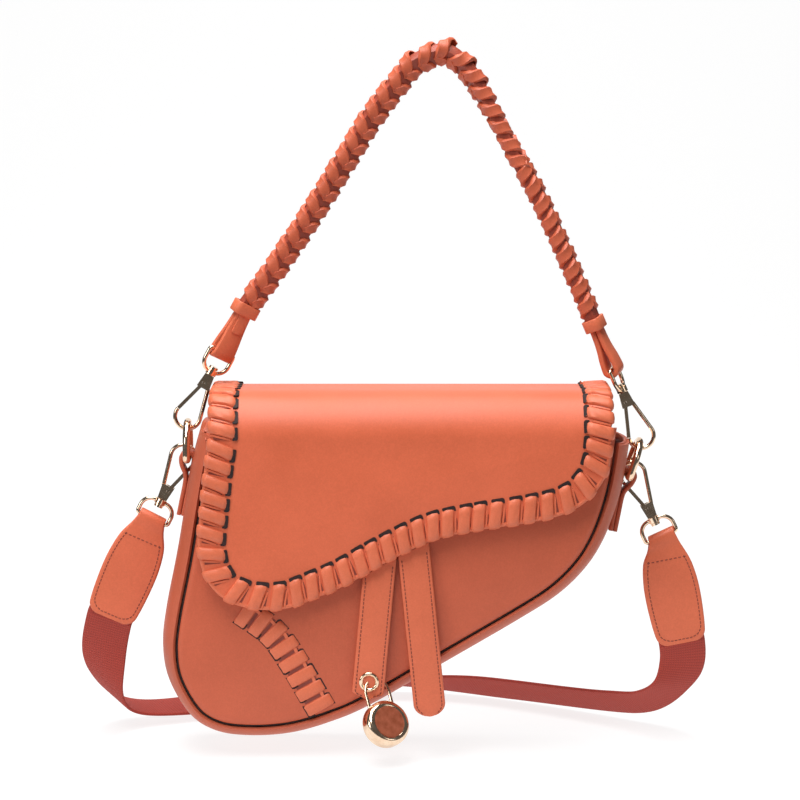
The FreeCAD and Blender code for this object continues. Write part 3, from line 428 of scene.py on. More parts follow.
def gusset_level(level):
    """How far back one level of the gusset lies, and how far its bulge has drawn in there."""
    share = math.sin(math.pi * (level / (GUSSET_LEVELS - 1) - 0.5)) * GUSSET_REACH
    return share * (HALF_DEPTH - LEATHER), GUSSET_BULGE * (1 - math.sqrt(1 - share * share))


ROUNDED_START = ((10, 0, -1.2), (5, 0, 0.5), (1.6, 0, 0.9), (0.4, 0, 0.5))
gusset_run = [OUTLINE[0] + Vector(step) for step in ROUNDED_START]
gusset_run += [p for p in OUTLINE if p.x < 0 or p.z < GUSSET_TOP]
corners = []
for level in range(GUSSET_LEVELS):
    depth, inward = gusset_level(level)
    corners += [place(p.x, depth, p.z) for p in moved_inward(gusset_run, inward)]
gusset = add_piece("gusset_band", corners, grid_faces(GUSSET_LEVELS, len(gusset_run)))
settle(gusset, wall(LEATHER))
outfit(gusset, shaded_gusset_leather, "coral_leather", "bag")
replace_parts(gusset, "gusset")


def skin(name, rings, closed=False):
    """A closed skin over rings of pattern places; closed joins the last ring to the first."""
    count, sides = len(rings), len(rings[0])
    faces = grid_faces(count, sides, around=True)
    last = (count - 1) * sides
    if closed:
        faces += [(last + k, last + (k + 1) % sides, (k + 1) % sides, k) for k in range(sides)]
    else:
        faces += [tuple(reversed(range(sides))), tuple(last + k for k in range(sides))]
    piece = add_piece(name, [place(*corner) for ring in rings for corner in ring], faces)
    work = bmesh.new()
    work.from_mesh(piece.data)
    bmesh.ops.recalc_face_normals(work, faces=work.faces)
    work.to_mesh(piece.data)
    work.free()
    return piece


def circle(middle, side, up, radius, count):
    """Pattern places round a middle, in the plane of two directions."""
    turns = [math.tau * k / count for k in range(count)]
    return [middle + (side * math.cos(t) + up * math.sin(t)) * radius for t in turns]


def swept(name, run, radius, sides, closed=False):
    """A round wire along a run of pattern places."""
    ways = headings(run)
    if closed:
        ways = [(run[(i + 1) % len(run)] - run[i - 1]).normalized() for i in range(len(run))]
    side, rings = ways[0].orthogonal(), []
    for at, way in zip(run, ways):
        side = (side - way * side.dot(way)).normalized()
        rings.append(circle(at, side, way.cross(side), radius, sides))
    return skin(name, rings, closed)


SEAM_RADIUS, SEAM_SINK, SEAM_INSET = 0.5, 0.15, 0.35
SEAM_PART = slice(8, -14)
# A thin near-black tube in the groove round each panel: painted shade, with dark edge paint.
for name, side in (("front_seam", -1), ("back_seam", 1)):
    depth = side * (HALF_DEPTH - LEATHER - SEAM_SINK)
    seam_edge = moved_inward(OUTLINE, GUSSET_BULGE - SEAM_INSET)[SEAM_PART]
    seam_run = [Vector((p.x, depth, p.z)) for p in seam_edge]
    outfit(swept(name, seam_run, SEAM_RADIUS, 8), painted_shade_and_edge_dark, "coral_leather", "bag")

# The lining is one bag of thin cloth with an open top, a little smaller than the shell.
LINING_INSET, LINING_DEPTH, LINING_CLOTH = 11.2, 27.0, 0.8
DOWN_SHARES, BOTTOM_SHARES = (0.0, 0.25, 0.5, 0.75, 0.95), (-0.93, -0.5, 0.0, 0.5, 0.93)
lining_finish = Finish("lining_cloth")
warp, weft = (
    lining_finish.node("ShaderNodeTexWave", {"bands_direction": way},
                       {"Vector": lining_finish.where(), "Scale": 900.0})
    for way in "XZ")
weave = warp * 0.5 + weft * 0.5
lining_cloth = lining_finish.set(
    Base_Color=lining_finish.dye(weave, (0.2, (0.33, 0.07, 0.04)), (0.8, (0.50, 0.13, 0.07))),
    Normal=lining_finish.bump(weave, 0.3, 0.0002),
    Roughness=0.85,
)
lining_edge = [p for p in moved_inward(OUTLINE, LINING_INSET) if p.z < GUSSET_TOP][::2]
mouth_line = even_run([lining_edge[0], lining_edge[-1]], len(lining_edge))
side_rows = [[top.lerp(edge, share) for top, edge in zip(mouth_line, lining_edge)] for share in DOWN_SHARES]
lining_rows = [(row, -LINING_DEPTH) for row in side_rows]
lining_rows += [(lining_edge, share * LINING_DEPTH) for share in BOTTOM_SHARES]
lining_rows += [(row, LINING_DEPTH) for row in reversed(side_rows)]
lining = add_piece(
    "lining_pocket", [place(p.x, depth, p.z) for row, depth in lining_rows for p in row],
    grid_faces(len(lining_rows), len(lining_edge)))
settle(lining, wall(LINING_CLOTH))
outfit(lining, lining_cloth, "lining_cloth", "bag")
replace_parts(lining, "lining")


# Flap
# One hide, sewn to the back panel: it runs over the top as a roof, turns round a soft front roll and hangs
# down the front to a waved hem. The real flap bends where the roof ends; here the sheet is one piece joined
# to no moving part.
FLAP_WIDTH, FLAP_DROP, FLAP_LEATHER = 217.0, 114.0, 2.2
FLAP_FACE = -40.0
FLAP_ROLL, ROOF_BACK_ROLL = FOLD_Y - FLAP_FACE, 20.0
FLAP_SWELL, FOLD_EASE = 1.0, 5.0
FLAP_MIDDLE = Vector((-12, 0, -52))
FLAP_SHARES = [
    (-0.4585, 0.210), (-0.470, 0.349), (-0.481, 0.540), (-0.488, 0.695), (-0.476, 0.826),
    (-0.446, 0.918), (-0.404, 0.970), (-0.344, 0.997), (-0.276, 0.990), (-0.205, 0.940),
    (-0.133, 0.880), (-0.053, 0.793), (0.029, 0.711), (0.097, 0.658), (0.194, 0.620),
    (0.290, 0.593), (0.376, 0.560), (0.431, 0.515), (0.470, 0.450), (0.500, 0.350), (0.5115, 0.210),
]


def gradual(share):
    """A share from 0 to 1 that starts and ends softly."""
    share = min(1.0, max(0.0, share))
    return share * share * (3 - 2 * share)


HEM = smooth_run([Vector((x * FLAP_WIDTH, 0, -z * FLAP_DROP)) for x, z in FLAP_SHARES], 300)
roll_line = even_run([HEM[-1], HEM[0]], 90)
hang_corners, hang_faces = dished_rings(
    HEM + roll_line[1:-1], FLAP_MIDDLE, [0.0, 0.6, 2.0, 5.0], MIDDLE_SHARES,
    lambda inset, share: FLAP_FACE - FLAP_SWELL * gradual(share))
over_rows = []
for turn in quarter_turn(24):
    over_rows.append((FOLD_Y - FLAP_ROLL * math.cos(turn), HEM[0].z + FLAP_ROLL * math.sin(turn)))
roof_top = over_rows[-1][1]
roof_back = HALF_DEPTH - ROOF_BACK_ROLL
over_rows += [(FOLD_Y + (roof_back - FOLD_Y) * share, roof_top) for share in (0.1, 0.25, 0.5, 0.75)]
for turn in quarter_turn(14):
    over_rows.append((roof_back + ROOF_BACK_ROLL * math.sin(turn),
                      roof_top - ROOF_BACK_ROLL + ROOF_BACK_ROLL * math.cos(turn)))
over_corners = [place(p.x, y, z) for y, z in over_rows for p in reversed(roll_line)]
over_faces = [
    tuple(i + len(hang_corners) for i in face) for face in grid_faces(len(over_rows), len(roll_line))]
flap = add_piece("flap_sheet", hang_corners + over_corners, hang_faces + over_faces)
settle(flap, ("WELD", {"merge_threshold": 0.00002}), wall(FLAP_LEATHER))
outfit(flap, panel_leather, "coral_leather")
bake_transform(flap)
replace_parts(flap, "flap_roof", "flap_panel")


# Whip lacing
# A coral leather thong goes round and round the flap's edge, through one slit after another. Each turn is a
# strip with rolled sides that leans a little; its slit's opening is a dark hook of painted shade at the inner
# end.
LACE_WIDTH, LACE_REACH, LACE_PITCH, LACE_RISE = 6.8, 13.2, 8.7, 1.85
LACE_LEAN = math.tan(math.radians(14))
LACE_FOLD_GAP = 6.4
ROLL_TURNS, ROOF_TURNS = 4, 6
ACROSS_STRIP = [
    (-0.5, -0.5), (-0.5, 0.3), (-0.4, 0.84), (0.0, 1.0), (0.4, 0.84), (0.5, 0.3), (0.5, -0.5)]
ACROSS_STRAND = [(-0.5, -0.4), (-0.3, 0.8), (0.3, 0.8), (0.5, -0.4)]
PATCH_SINK = -0.6


def copies_tree():
    """Geometry nodes that set a unit piece down on every point, turned as it says and a little uneven."""
    tree = bpy.data.node_groups.new("laid_out_copies", "GeometryNodeTree")
    for label, kind in (("Geometry", "NodeSocketGeometry"), ("Unit", "NodeSocketObject"),
                        ("Finish", "NodeSocketMaterial"), ("Unevenness", "NodeSocketVector"),
                        ("Seed", "NodeSocketInt")):
        tree.interface.new_socket(label, in_out="INPUT", socket_type=kind)
    tree.interface.new_socket("Geometry", in_out="OUTPUT", socket_type="NodeSocketGeometry")
    laying = NodeTree(tree)
    points, unit, finish, uneven, seed = (
        laying.node("NodeGroupInput", output=label)
        for label in ("Geometry", "Unit", "Finish", "Unevenness", "Seed"))
    turn = laying.node("GeometryNodeInputNamedAttribute", {"data_type": "QUATERNION"}, {"Name": "turn"},
                       output="Attribute")
    flip = laying.node("ShaderNodeVectorMath", {"operation": "SCALE"}, {0: uneven, "Scale": -1.0})
    jitter = laying.node("FunctionNodeRandomValue", {"data_type": "FLOAT_VECTOR"},
                         {"Min": flip, "Max": uneven, "Seed": seed})
    tilt = laying.node("FunctionNodeEulerToRotation", None, {0: jitter})
    both = laying.node("FunctionNodeRotateRotation", {"rotation_space": "LOCAL"}, {0: turn, 1: tilt})
    shape = laying.node("GeometryNodeObjectInfo", None, {"Object": unit}, output="Geometry")
    laid = laying.node("GeometryNodeInstanceOnPoints", None,
                       {"Points": points, "Instance": shape, "Rotation": both})
    real = laying.node("GeometryNodeRealizeInstances", None, {"Geometry": laid})
    dressed = laying.node("GeometryNodeSetMaterial", None, {"Geometry": real, "Material": finish})
    laying.feed(tree.nodes.new("NodeGroupOutput").inputs["Geometry"], dressed)
    return tree


COPIES = copies_tree()


def copies(name, unit, spots, material, slot, body, uneven=(0.0, 0.0, 0.0)):
    """One mesh of a unit's copies at spots: each a place in metres and the way of the unit's X and Y."""
    rows = add_piece(name, [spot[0] for spot in spots], [])
    turns = rows.data.attributes.new("turn", "QUATERNION", "POINT")
    for data, (_, along_x, along_y) in zip(turns.data, spots):
        axes = Matrix((along_x, along_y, along_x.cross(along_y))).transposed()
        data.value = axes.to_quaternion()
    layout = rows.modifiers.new("copies", "NODES")
    layout.node_group = COPIES
    wanted = {"Unit": unit, "Finish": material, "Unevenness": uneven, "Seed": len(spots)}
    for socket in COPIES.interface.items_tree:
        if socket.in_out == "INPUT" and socket.name in wanted:
            layout[socket.identifier] = wanted[socket.name]
    settle(rows)
    return outfit(rows, material, slot, body)


def strip_unit(name, path, width, rise, across, lean=lambda i, x: 0.0):
    """A unit strip of thong along a path of (inward, outward) places; lean moves each along the edge."""
    run = [Vector((x, y, lean(i, x))) / 1000 for i, (x, y) in enumerate(path)]
    corners = []
    for at, way in zip(run, headings(run)):
        out = Vector((-way.y, way.x, 0)).normalized()
        corners += [at + Vector((0, 0, z * width / 1000)) + out * (h * rise / 1000) for z, h in across]
    return add_piece(name, corners, grid_faces(len(run), len(across)))


BACK = -FLAP_LEATHER
TURN_PATH = [
    (LACE_REACH, BACK + 0.8), (LACE_REACH - 1, BACK), (6.0, BACK), (0.6, BACK), (-0.25, BACK * 0.8),
    (-0.45, BACK / 2), (-0.2, -0.3), (1.0, 0.05), (5.0, 0.1), (9.0, 0.12), (LACE_REACH - 2.6, 0.0),
    (LACE_REACH - 1.7, -0.7), (LACE_REACH - 1.45, -2.2),
]
turn_unit = strip_unit(
    "turn_unit", TURN_PATH, LACE_WIDTH, LACE_RISE, ACROSS_STRIP,
    lambda i, x: LACE_LEAN * (x - LACE_REACH / 2) if i > 4 else -LACE_LEAN * (LACE_REACH / 2 + x * 1.6))


def patch_unit(name, outlines, top, bottom=PATCH_SINK):
    """A unit of flat patches sunk into what they lie on; each outline has (inward, along) places."""
    corners, faces = [], []
    for points in outlines:
        start, count = len(corners), len(points)
        corners += [Vector((x, y, z)) / 1000 for y in (top, bottom) for x, z in points]
        faces.append(tuple(range(start, start + count)))
        for k in range(count):
            here, after = start + k, start + (k + 1) % count
            faces.append((here, here + count, after + count, after))
    return add_piece(name, corners, faces, smooth=False)


def between_turns(x):
    """How far along the edge the middle of the gap between two turns is, at a distance inward."""
    return LACE_PITCH / 2 + LACE_LEAN * (x - LACE_REACH / 2)


# Near-black patches at each turn's inner end: painted shade in the slit's opening.
slit_lean = LACE_LEAN * LACE_REACH / 2
slit_end = LACE_REACH + 1.0
SLIT_POINTS = [
    (LACE_REACH - 1.2, -3.1), (slit_end - 0.5, -3.2), (slit_end - 0.1, -2.7), (slit_end, 2.9),
    (slit_end - 0.4, 3.6), (slit_end - 1.2, 3.9), (LACE_REACH - 1.8, 3.8), (LACE_REACH - 2.0, 3.1),
    (LACE_REACH - 1.2, 2.9),
]
slit_unit = patch_unit("slit_unit", [[(x, z + slit_lean) for x, z in SLIT_POINTS]], 0.6)
# A dark red-brown wedge between each two turns, wide at the edge and narrowing inward: painted shade in the
# gap.
GAP_SHADE_POINTS = [(LACE_REACH - 3.6, -0.2), (LACE_REACH - 3.6, 0.2), (1.2, 1.8), (1.2, -1.8)]
gap_unit = patch_unit("gap_unit", [[(x, z + between_turns(x)) for x, z in GAP_SHADE_POINTS]], 0.1)
painted_gap_shade = coral_leather("shadowed_gap_leather", (0.24, 0.043, 0.026))
STRAND_PATH = [(-0.3, -1.2), (0.1, 0.0), (3.5, 0.15), (7.0, 0.1), (LACE_REACH - 3.2, -0.5)]
strand_unit = strip_unit(
    "strand_unit", STRAND_PATH, 1.5, 0.55, ACROSS_STRAND, lambda i, x: between_turns(x))
thong_leather = coral_leather("coral_thong_leather", (0.72, 0.160, 0.072), depth=0.6)

inner_marks = travelled(moved_inward(HEM, LACE_REACH))
hem_count = int(inner_marks[-1] / LACE_PITCH)
hem_ways = headings(HEM)
FORWARD, UP, RIGHT = Vector((0, -1, 0)), Vector((0, 0, 1)), Vector((1, 0, 0))
flap_spots, roof_spots = [], []
for k in range(hem_count):
    wanted = inner_marks[-1] * (k + 0.5) / hem_count
    i = min(range(len(HEM)), key=lambda n: abs(inner_marks[n] - wanted))
    inward = left_of(hem_ways[i])
    flap_spots.append((place(HEM[i].x, FLAP_FACE, HEM[i].z), inward, FORWARD))
roof_flat = roof_back - FOLD_Y
for x, inward in ((HEM[0].x, RIGHT), (HEM[-1].x, -RIGHT)):
    for k in range(ROLL_TURNS):
        turn = (LACE_FOLD_GAP + LACE_PITCH * k) / FLAP_ROLL
        outward = UP * math.cos(turn) + FORWARD * math.sin(turn)
        middle = Vector((x, FOLD_Y, roof_top - FLAP_ROLL)) + outward * FLAP_ROLL
        flap_spots.append((place(*middle), inward, outward))
    for k in range(ROOF_TURNS):
        distance = LACE_FOLD_GAP + LACE_PITCH * k
        turn = max(0.0, distance - roof_flat) / ROOF_BACK_ROLL
        outward = UP * math.cos(turn) - FORWARD * math.sin(turn)
        start = Vector((x, FOLD_Y + min(distance, roof_flat), roof_top - ROOF_BACK_ROLL))
        roof_spots.append((place(*(start + outward * ROOF_BACK_ROLL)), inward, outward))
for name, spots, body in (("flap_lacing", flap_spots, "flap"), ("roof_lacing", roof_spots, "bag")):
    turns = copies(
        f"{name}_turns", turn_unit, spots, thong_leather, "coral_thong", body, (0.012, 0.03, 0.012))
    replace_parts(turns, name)
    copies(f"{name}_slits", slit_unit, spots, painted_shade_and_edge_dark, "coral_leather", body)
    copies(f"{name}_gaps", gap_unit, spots, painted_gap_shade, "coral_leather", body)
    copies(f"{name}_strands", strand_unit, spots, thong_leather, "coral_thong", body, (0.0, 0.06, 0.0))
for unit in (turn_unit, slit_unit, gap_unit, strand_unit):
    bpy.data.objects.remove(unit)
# A rolled cord of the same thong shows along the hem, in the gaps between the turns.
CORD_RADIUS = 1.35
cord_run = [Vector((p.x, FLAP_FACE + FLAP_LEATHER / 2, p.z)) for p in HEM[2:-2:2]]
outfit(swept("hem_core", cord_run, CORD_RADIUS, 8), thong_leather, "coral_thong", "flap")

# A second row comes out from under the flap and runs down the front to the seam, as flat strips held at both
# ends; each slit's opening is a dark hook of painted shade. A strand shows in each gap between two of them.
FRONT_STRIPS, STRIP_LENGTH, STRIP_WIDTH, STRIP_RISE = 8, 15.0, 6.7, 0.75
FRONT_ROW = [(-82.0, -118.5), (-67.5, -129.5), (-55.0, -148.0), (-43.5, -168.5)]
half_strip = STRIP_LENGTH / 2
FLAT_PATH = [
    (-half_strip - 0.2, -1.4), (-half_strip + 0.1, -0.4), (-half_strip + 1.3, 0.15), (-half_strip / 3, 0.35),
    (half_strip / 3, 0.35), (half_strip - 1.3, 0.15), (half_strip - 0.1, -0.4), (half_strip + 0.2, -1.4),
]
FLAT_STRIP = [
    (-0.5, -0.6), (-0.47, 0.55), (-0.38, 1.0), (0.0, 0.92), (0.38, 1.0), (0.47, 0.55), (0.5, -0.6)]
# Near-black hooks at both ends of each strip: painted shade in the slits.
HOOK = [
    (half_strip - 0.4, 3.2), (half_strip + 0.75, 3.5), (half_strip + 0.75, -3.5), (half_strip - 0.5, -4.2),
    (half_strip - 3.0, -4.0), (half_strip - 3.0, -3.3), (half_strip - 0.4, -3.2),
]
flat_unit = strip_unit("flat_unit", FLAT_PATH, STRIP_WIDTH, STRIP_RISE, FLAT_STRIP)
hook_unit = patch_unit("hook_unit", [HOOK, [(-x, -z) for x, z in HOOK]], 0.12)
# A dark patch in each gap between two strips: painted shade under the strand.
gap_unit = patch_unit("gap_unit", [[(6.2, -0.7), (6.2, 0.7), (-6.2, 0.9), (-6.2, -0.9)]], 0.1)
bridge_unit = patch_unit("bridge_unit", [[(3.8, -1.7), (5.5, -1.7), (5.1, 1.7), (3.4, 1.7)]], 0.5)
row_run = smooth_run([Vector((x, 0, z)) for x, z in FRONT_ROW], 2 * FRONT_STRIPS - 1)
row_spots = []
for p, way in zip(row_run, headings(row_run)):
    ray_start = place(p.x, FLAP_FACE * 2, p.z)
    _, spot, outward, _ = bpy.data.objects["front_panel_skin"].ray_cast(ray_start, -FORWARD)
    along = (way - outward * way.dot(outward)).normalized()
    row_spots.append((spot, outward.cross(along), outward))
strip_spots, gap_spots = row_spots[::2], row_spots[1::2]
front_strips = copies(
    "front_row_strips", flat_unit, strip_spots, thong_leather, "coral_thong", "bag", (0.0, 0.02, 0.03))
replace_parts(front_strips, "front_lacing")
copies("front_row_slits", hook_unit, strip_spots, painted_shade_and_edge_dark, "coral_leather", "bag")
copies("front_row_gaps", gap_unit, gap_spots, painted_gap_shade, "coral_leather", "bag")
copies("front_row_strands", bridge_unit, gap_spots, thong_leather, "coral_thong", "bag")
for unit in (flat_unit, hook_unit, gap_unit, bridge_unit):
    bpy.data.objects.remove(unit)


# Hanging tongues
# Two leather tongues hang from under the hem, edge-stitched down both sides. The right one has a round tip.
# The left one is cut to a blunt point, and a brass eyelet near its end carries the charm.
TONGUE_WIDTH, TONGUE, TONGUE_SWAY = 17.0, 2.0, 0.9
LEFT_LENGTH, RIGHT_LENGTH = 72.0, 91.0
LEFT_LEAN, RIGHT_LEAN = 185.3, 174.2
BEND_LENGTH, ROUND_TIP, CUT_TIP = 12.0, 7.0, 3.4
STITCH_PITCH, STITCH_INSET, STITCH_LIFT, FIRST_STITCH, TIP_LEAST = 2.05, 1.75, 0.02, 3.0, 0.06
STITCH_PATH = [(-0.72, -0.1), (-0.5, 0.1), (0.0, 0.16), (0.5, 0.1), (0.72, -0.1)]
STRIP_SECTION = [
    (1.0, -0.3), (1.0, 0.3), (0.965, 0.85), (0.9, 1.0), (0.0, 1.0), (-0.9, 1.0), (-0.965, 0.85),
    (-1.0, 0.3), (-1.0, -0.3), (-0.965, -0.85), (-0.9, -1.0), (0.0, -1.0), (0.9, -1.0), (0.965, -0.85),
]
TONGUE_SHARES = [k / 40 for k in range(35)]
TONGUE_SHARES += [(34.5 + 5.5 * (k / 14) ** 0.6) / 40 for k in range(15)]
tongue_leather = coral_leather("coral_tongue_leather", (0.69, 0.148, 0.066), depth=0.8)
thread_finish = Finish("dark_thread")
thread_lay = thread_finish.node("ShaderNodeTexWave", {"bands_direction": "DIAGONAL"}, {
    "Vector": thread_finish.where(), "Scale": 1500.0})
dark_thread = thread_finish.set(
    Base_Color=thread_finish.dye(thread_lay, (0.2, (0.15, 0.028, 0.018)), (0.8, (0.28, 0.056, 0.034))),
    Roughness=0.7,
)


def leaning(degrees):
    """A direction in the front plane, turned from straight up towards the right."""
    return Vector((math.sin(math.radians(degrees)), 0, math.cos(math.radians(degrees))))


def band(name, stations, closed=False):
    """A strip with rounded edges; each station is a place and the ways to its side edge and its face."""
    rings = [[at + side * a + face * b for a, b in STRIP_SECTION] for at, side, face in stations]
    return skin(name, rings, closed)


stitch_unit = strip_unit("stitch_unit", STITCH_PATH, 0.5, 0.14, ACROSS_STRAND)


def stitched(name, runs, outward, body):
    """Rows of thread stitches along runs of pattern places, on a face that looks outward."""
    spots = []
    for run in runs:
        even = even_run(run, max(3, int(travelled(run)[-1] / STITCH_PITCH)))
        for at, way in zip(even, headings(even)):
            way = (way - outward * way.dot(outward)).normalized()
            spots.append((place(*at), way, outward))
    copies(name, stitch_unit, spots, dark_thread, "coral_leather", body)


def tongue(name, lean, length, tip):
    """A tongue from its slanted bend line to its tip; tip gives its half-width near the end, as a share."""
    joint, body = joints[f"{name}_swing"], name.replace("tongue", "hanging_tongue")
    top, bend = pattern(joint["pos_m"]), -Vector(joint["axis"])
    down = leaning(lean)
    across = left_of(down)
    stations, edges = [], ([], [])
    for far in (length * share for share in TONGUE_SHARES):
        side = bend.lerp(across, gradual(far / BEND_LENGTH))
        side = side / side.dot(across) * (TONGUE_WIDTH / 2 * max(TIP_LEAST, tip(length - far)))
        at = top + down * far + FORWARD * (TONGUE_SWAY * math.sin(math.pi * far / length))
        stations.append((at, side, FORWARD * (TONGUE / 2)))
        if FIRST_STITCH < far < length - STITCH_INSET:
            reach = max(0.0, 1 - STITCH_INSET / max(STITCH_INSET, side.length))
            for edge, way in zip(edges, (-1, 1)):
                edge.append(at + side * (way * reach) + FORWARD * (TONGUE / 2 + STITCH_LIFT))
    strip = outfit(band(f"{name}_strip", stations), tongue_leather, "coral_leather", body)
    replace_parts(strip, name)
    stitched(f"{name}_stitches", edges, FORWARD, body)


tongue("left_tongue", LEFT_LEAN, LEFT_LENGTH, lambda left: min(1.0, 0.1 + left / CUT_TIP))
tongue("right_tongue", RIGHT_LEAN, RIGHT_LENGTH,
       lambda left: math.sqrt(max(0.0, 1 - max(0.0, 1 - left / ROUND_TIP) ** 2)))

# The eyelet has a rolled brass rim on both faces of the left tongue.
EYELET_MIDDLE, EYELET_ROUND, EYELET_PROUD = 4.35, 1.15, 0.35
gold_finish = Finish("pale_gold_metal")
gold_cloud, gold_fine = gold_finish.noise(260.0, 3.0), gold_finish.noise(2400.0)
gold_metal = gold_finish.set(
    Base_Color=gold_finish.dye(gold_cloud, (0.3, (0.82, 0.58, 0.40)), (0.7, (0.95, 0.75, 0.56))),
    Metallic=1.0,
    Roughness=gold_cloud * 0.10 + gold_fine * 0.06 + 0.05,
    Normal=gold_finish.bump(gold_fine, 0.04, 0.0002),
)
eyelet_at = pattern(joints["charm_swing"]["pos_m"])
for name, face in (("eyelet_front_rim", 1), ("eyelet_back_rim", -1)):
    rim_middle = eyelet_at + FORWARD * (face * (TONGUE / 2 + EYELET_PROUD))
    rim_run = circle(rim_middle, RIGHT, UP, EYELET_MIDDLE, 40)
    eyelet_rim = swept(name, rim_run, EYELET_ROUND, 12, closed=True)
    outfit(eyelet_rim, gold_metal, "gold_metal", "left_hanging_tongue")


# Lock charm
# A small round padlock of polished pale gold hangs by its shackle from the eyelet. Its body is a thick disc
# with a rounded rim and a plain dished face that looks up and to the right, coloured coral-copper as a
# painted reflection of the bag.
LOCK_RADIUS, LOCK_DEPTH, LOCK_EDGE, LOCK_DISH = 12.5, 10.0, 3.2, 1.6
SHACKLE_HALF, SHACKLE_LEG = 7.0, 8.0
LOCK_YAW, LOCK_TILT, LOCK_HANG = math.radians(30), math.radians(30), math.radians(62)
FACE_PROUD, TURNED_SIDES = 0.06, 72
lock_side = Vector((math.cos(LOCK_YAW), math.sin(LOCK_YAW), 0))
lock_facing = Vector((math.sin(LOCK_YAW), -math.cos(LOCK_YAW), 0))
lock_up = UP * math.cos(LOCK_TILT) - lock_facing * math.sin(LOCK_TILT)
lock_axis = lock_side.cross(lock_up)
shackle_middle = eyelet_at - lock_up * (SHACKLE_HALF * math.sin(LOCK_HANG))
shackle_middle += lock_side * (SHACKLE_HALF * math.cos(LOCK_HANG))
lock_middle = shackle_middle - lock_up * (SHACKLE_LEG + math.sqrt(LOCK_RADIUS ** 2 - SHACKLE_HALF ** 2))


def turned(name, profile):
    """A turned piece on the lock's axis; its profile has a radius and a height at each place."""
    side = lock_axis.orthogonal().normalized()
    up = lock_axis.cross(side)
    return skin(name, [circle(lock_middle + lock_axis * height, side, up, radius, TURNED_SIDES)
                       for radius, height in profile])


half_depth = LOCK_DEPTH / 2
rim = LOCK_RADIUS - LOCK_EDGE


def dished(shares, proud=0.0):
    """The profile of the lock's dished face at shares of its radius."""
    return [(rim * share, half_depth - LOCK_DISH * (1 - share * share) + proud) for share in shares]


lock_profile = [(0.05, -half_depth), (rim * 0.6, -half_depth), (rim, -half_depth)]
for turn in quarter_turn(8)[1:]:
    lock_profile.append((rim + LOCK_EDGE * math.sin(turn), -half_depth + LOCK_EDGE * (1 - math.cos(turn))))
for turn in quarter_turn(8):
    lock_profile.append((rim + LOCK_EDGE * math.cos(turn), half_depth - LOCK_EDGE * (1 - math.sin(turn))))
lock_profile += dished((0.96, 0.9, 0.8, 0.6, 0.4, 0.2, 0.005))
lock = outfit(turned("lock_disc", lock_profile), gold_metal, "gold_metal", "charm")
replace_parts(lock, "lock_body")
# The dished face is coloured coral-copper: a painted reflection of the coral bag in the polished gold.
reflection_finish = Finish("copper_tinted_metal")
reflection_cloud = reflection_finish.noise(300.0)
painted_reflection_metal = reflection_finish.set(
    Base_Color=reflection_finish.dye(reflection_cloud, (0.3, (0.62, 0.17, 0.085)), (0.7, (0.78, 0.25, 0.14))),
    Metallic=1.0,
    Roughness=reflection_cloud * 0.12 + 0.42,
)
face_profile = dished((0.93, 0.8, 0.6, 0.4, 0.2, 0.005), FACE_PROUD)
outfit(turned("lock_face", face_profile), painted_reflection_metal, "gold_metal", "charm")


# Rings, clasps and small metal
# Cast and polished pale gold fittings: two side rings, four trigger clasps with sprung gates on swivel posts,
# the loops they turn in, and the magnetic snap under the flap. Their machined shapes come as they are.
FITTINGS = ("_ring", "_hook", "_gate", "_pin", "_loop", "shackle", "eyelet")
for name, node in frame["nodes"].items():
    if name.endswith(FITTINGS) or name.startswith("snap_"):
        for metal_slot in node.material_slots:
            metal_slot.material = gold_metal


# Ring tabs
# Each side ring sits in a strip of leather folded round its bar. Both layers are sewn flat against the
# gusset.
TAB_HALF_WIDTH, TAB_LENGTH, TAB_STRIP = 5.5, 31.0, 2.2
UNDER_LAYER, OVER_LAYER, TAB_EYE = -3.55, -1.15, 3.5


def arc(radius, turns):
    """Flat places on a circle, at turns in degrees from its right side."""
    return [(radius * math.cos(math.radians(turn)), radius * math.sin(math.radians(turn))) for turn in turns]


TAB_PATH = [
    (OVER_LAYER, -TAB_LENGTH), (OVER_LAYER, -22.0), (OVER_LAYER, -13.0), (-0.4, -8.5), (2.4, -4.0)]
TAB_PATH += arc(TAB_EYE, range(-10, 190, 25))
TAB_PATH += [(UNDER_LAYER, z) for z in (-4.0, -13.0, -22.0, -TAB_LENGTH)]
outline_ways = headings(OUTLINE)
outline_half = len(OUTLINE) // 2
for name, side, branch in (
        ("left", -1, range(outline_half)), ("right", 1, range(outline_half, len(OUTLINE)))):
    bar = pattern(joints[f"{name}_ring_tilt"]["pos_m"])
    nearest = min(branch, key=lambda i: (Vector((bar.x, 0, bar.z)) - OUTLINE[i]).length)
    up_edge = outline_ways[nearest] * side
    outward = -left_of(outline_ways[nearest])
    tab_run = smooth_run([bar + outward * x + up_edge * z for x, z in TAB_PATH], 70)
    stations = []
    for at, way in zip(tab_run, headings(tab_run)):
        stations.append((at, FORWARD * TAB_HALF_WIDTH, way.cross(FORWARD) * (TAB_STRIP / 2)))
    tab = outfit(band(f"{name}_ring_strip", stations), shaded_gusset_leather, "coral_leather", "bag")
    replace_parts(tab, f"{name}_ring_tab")

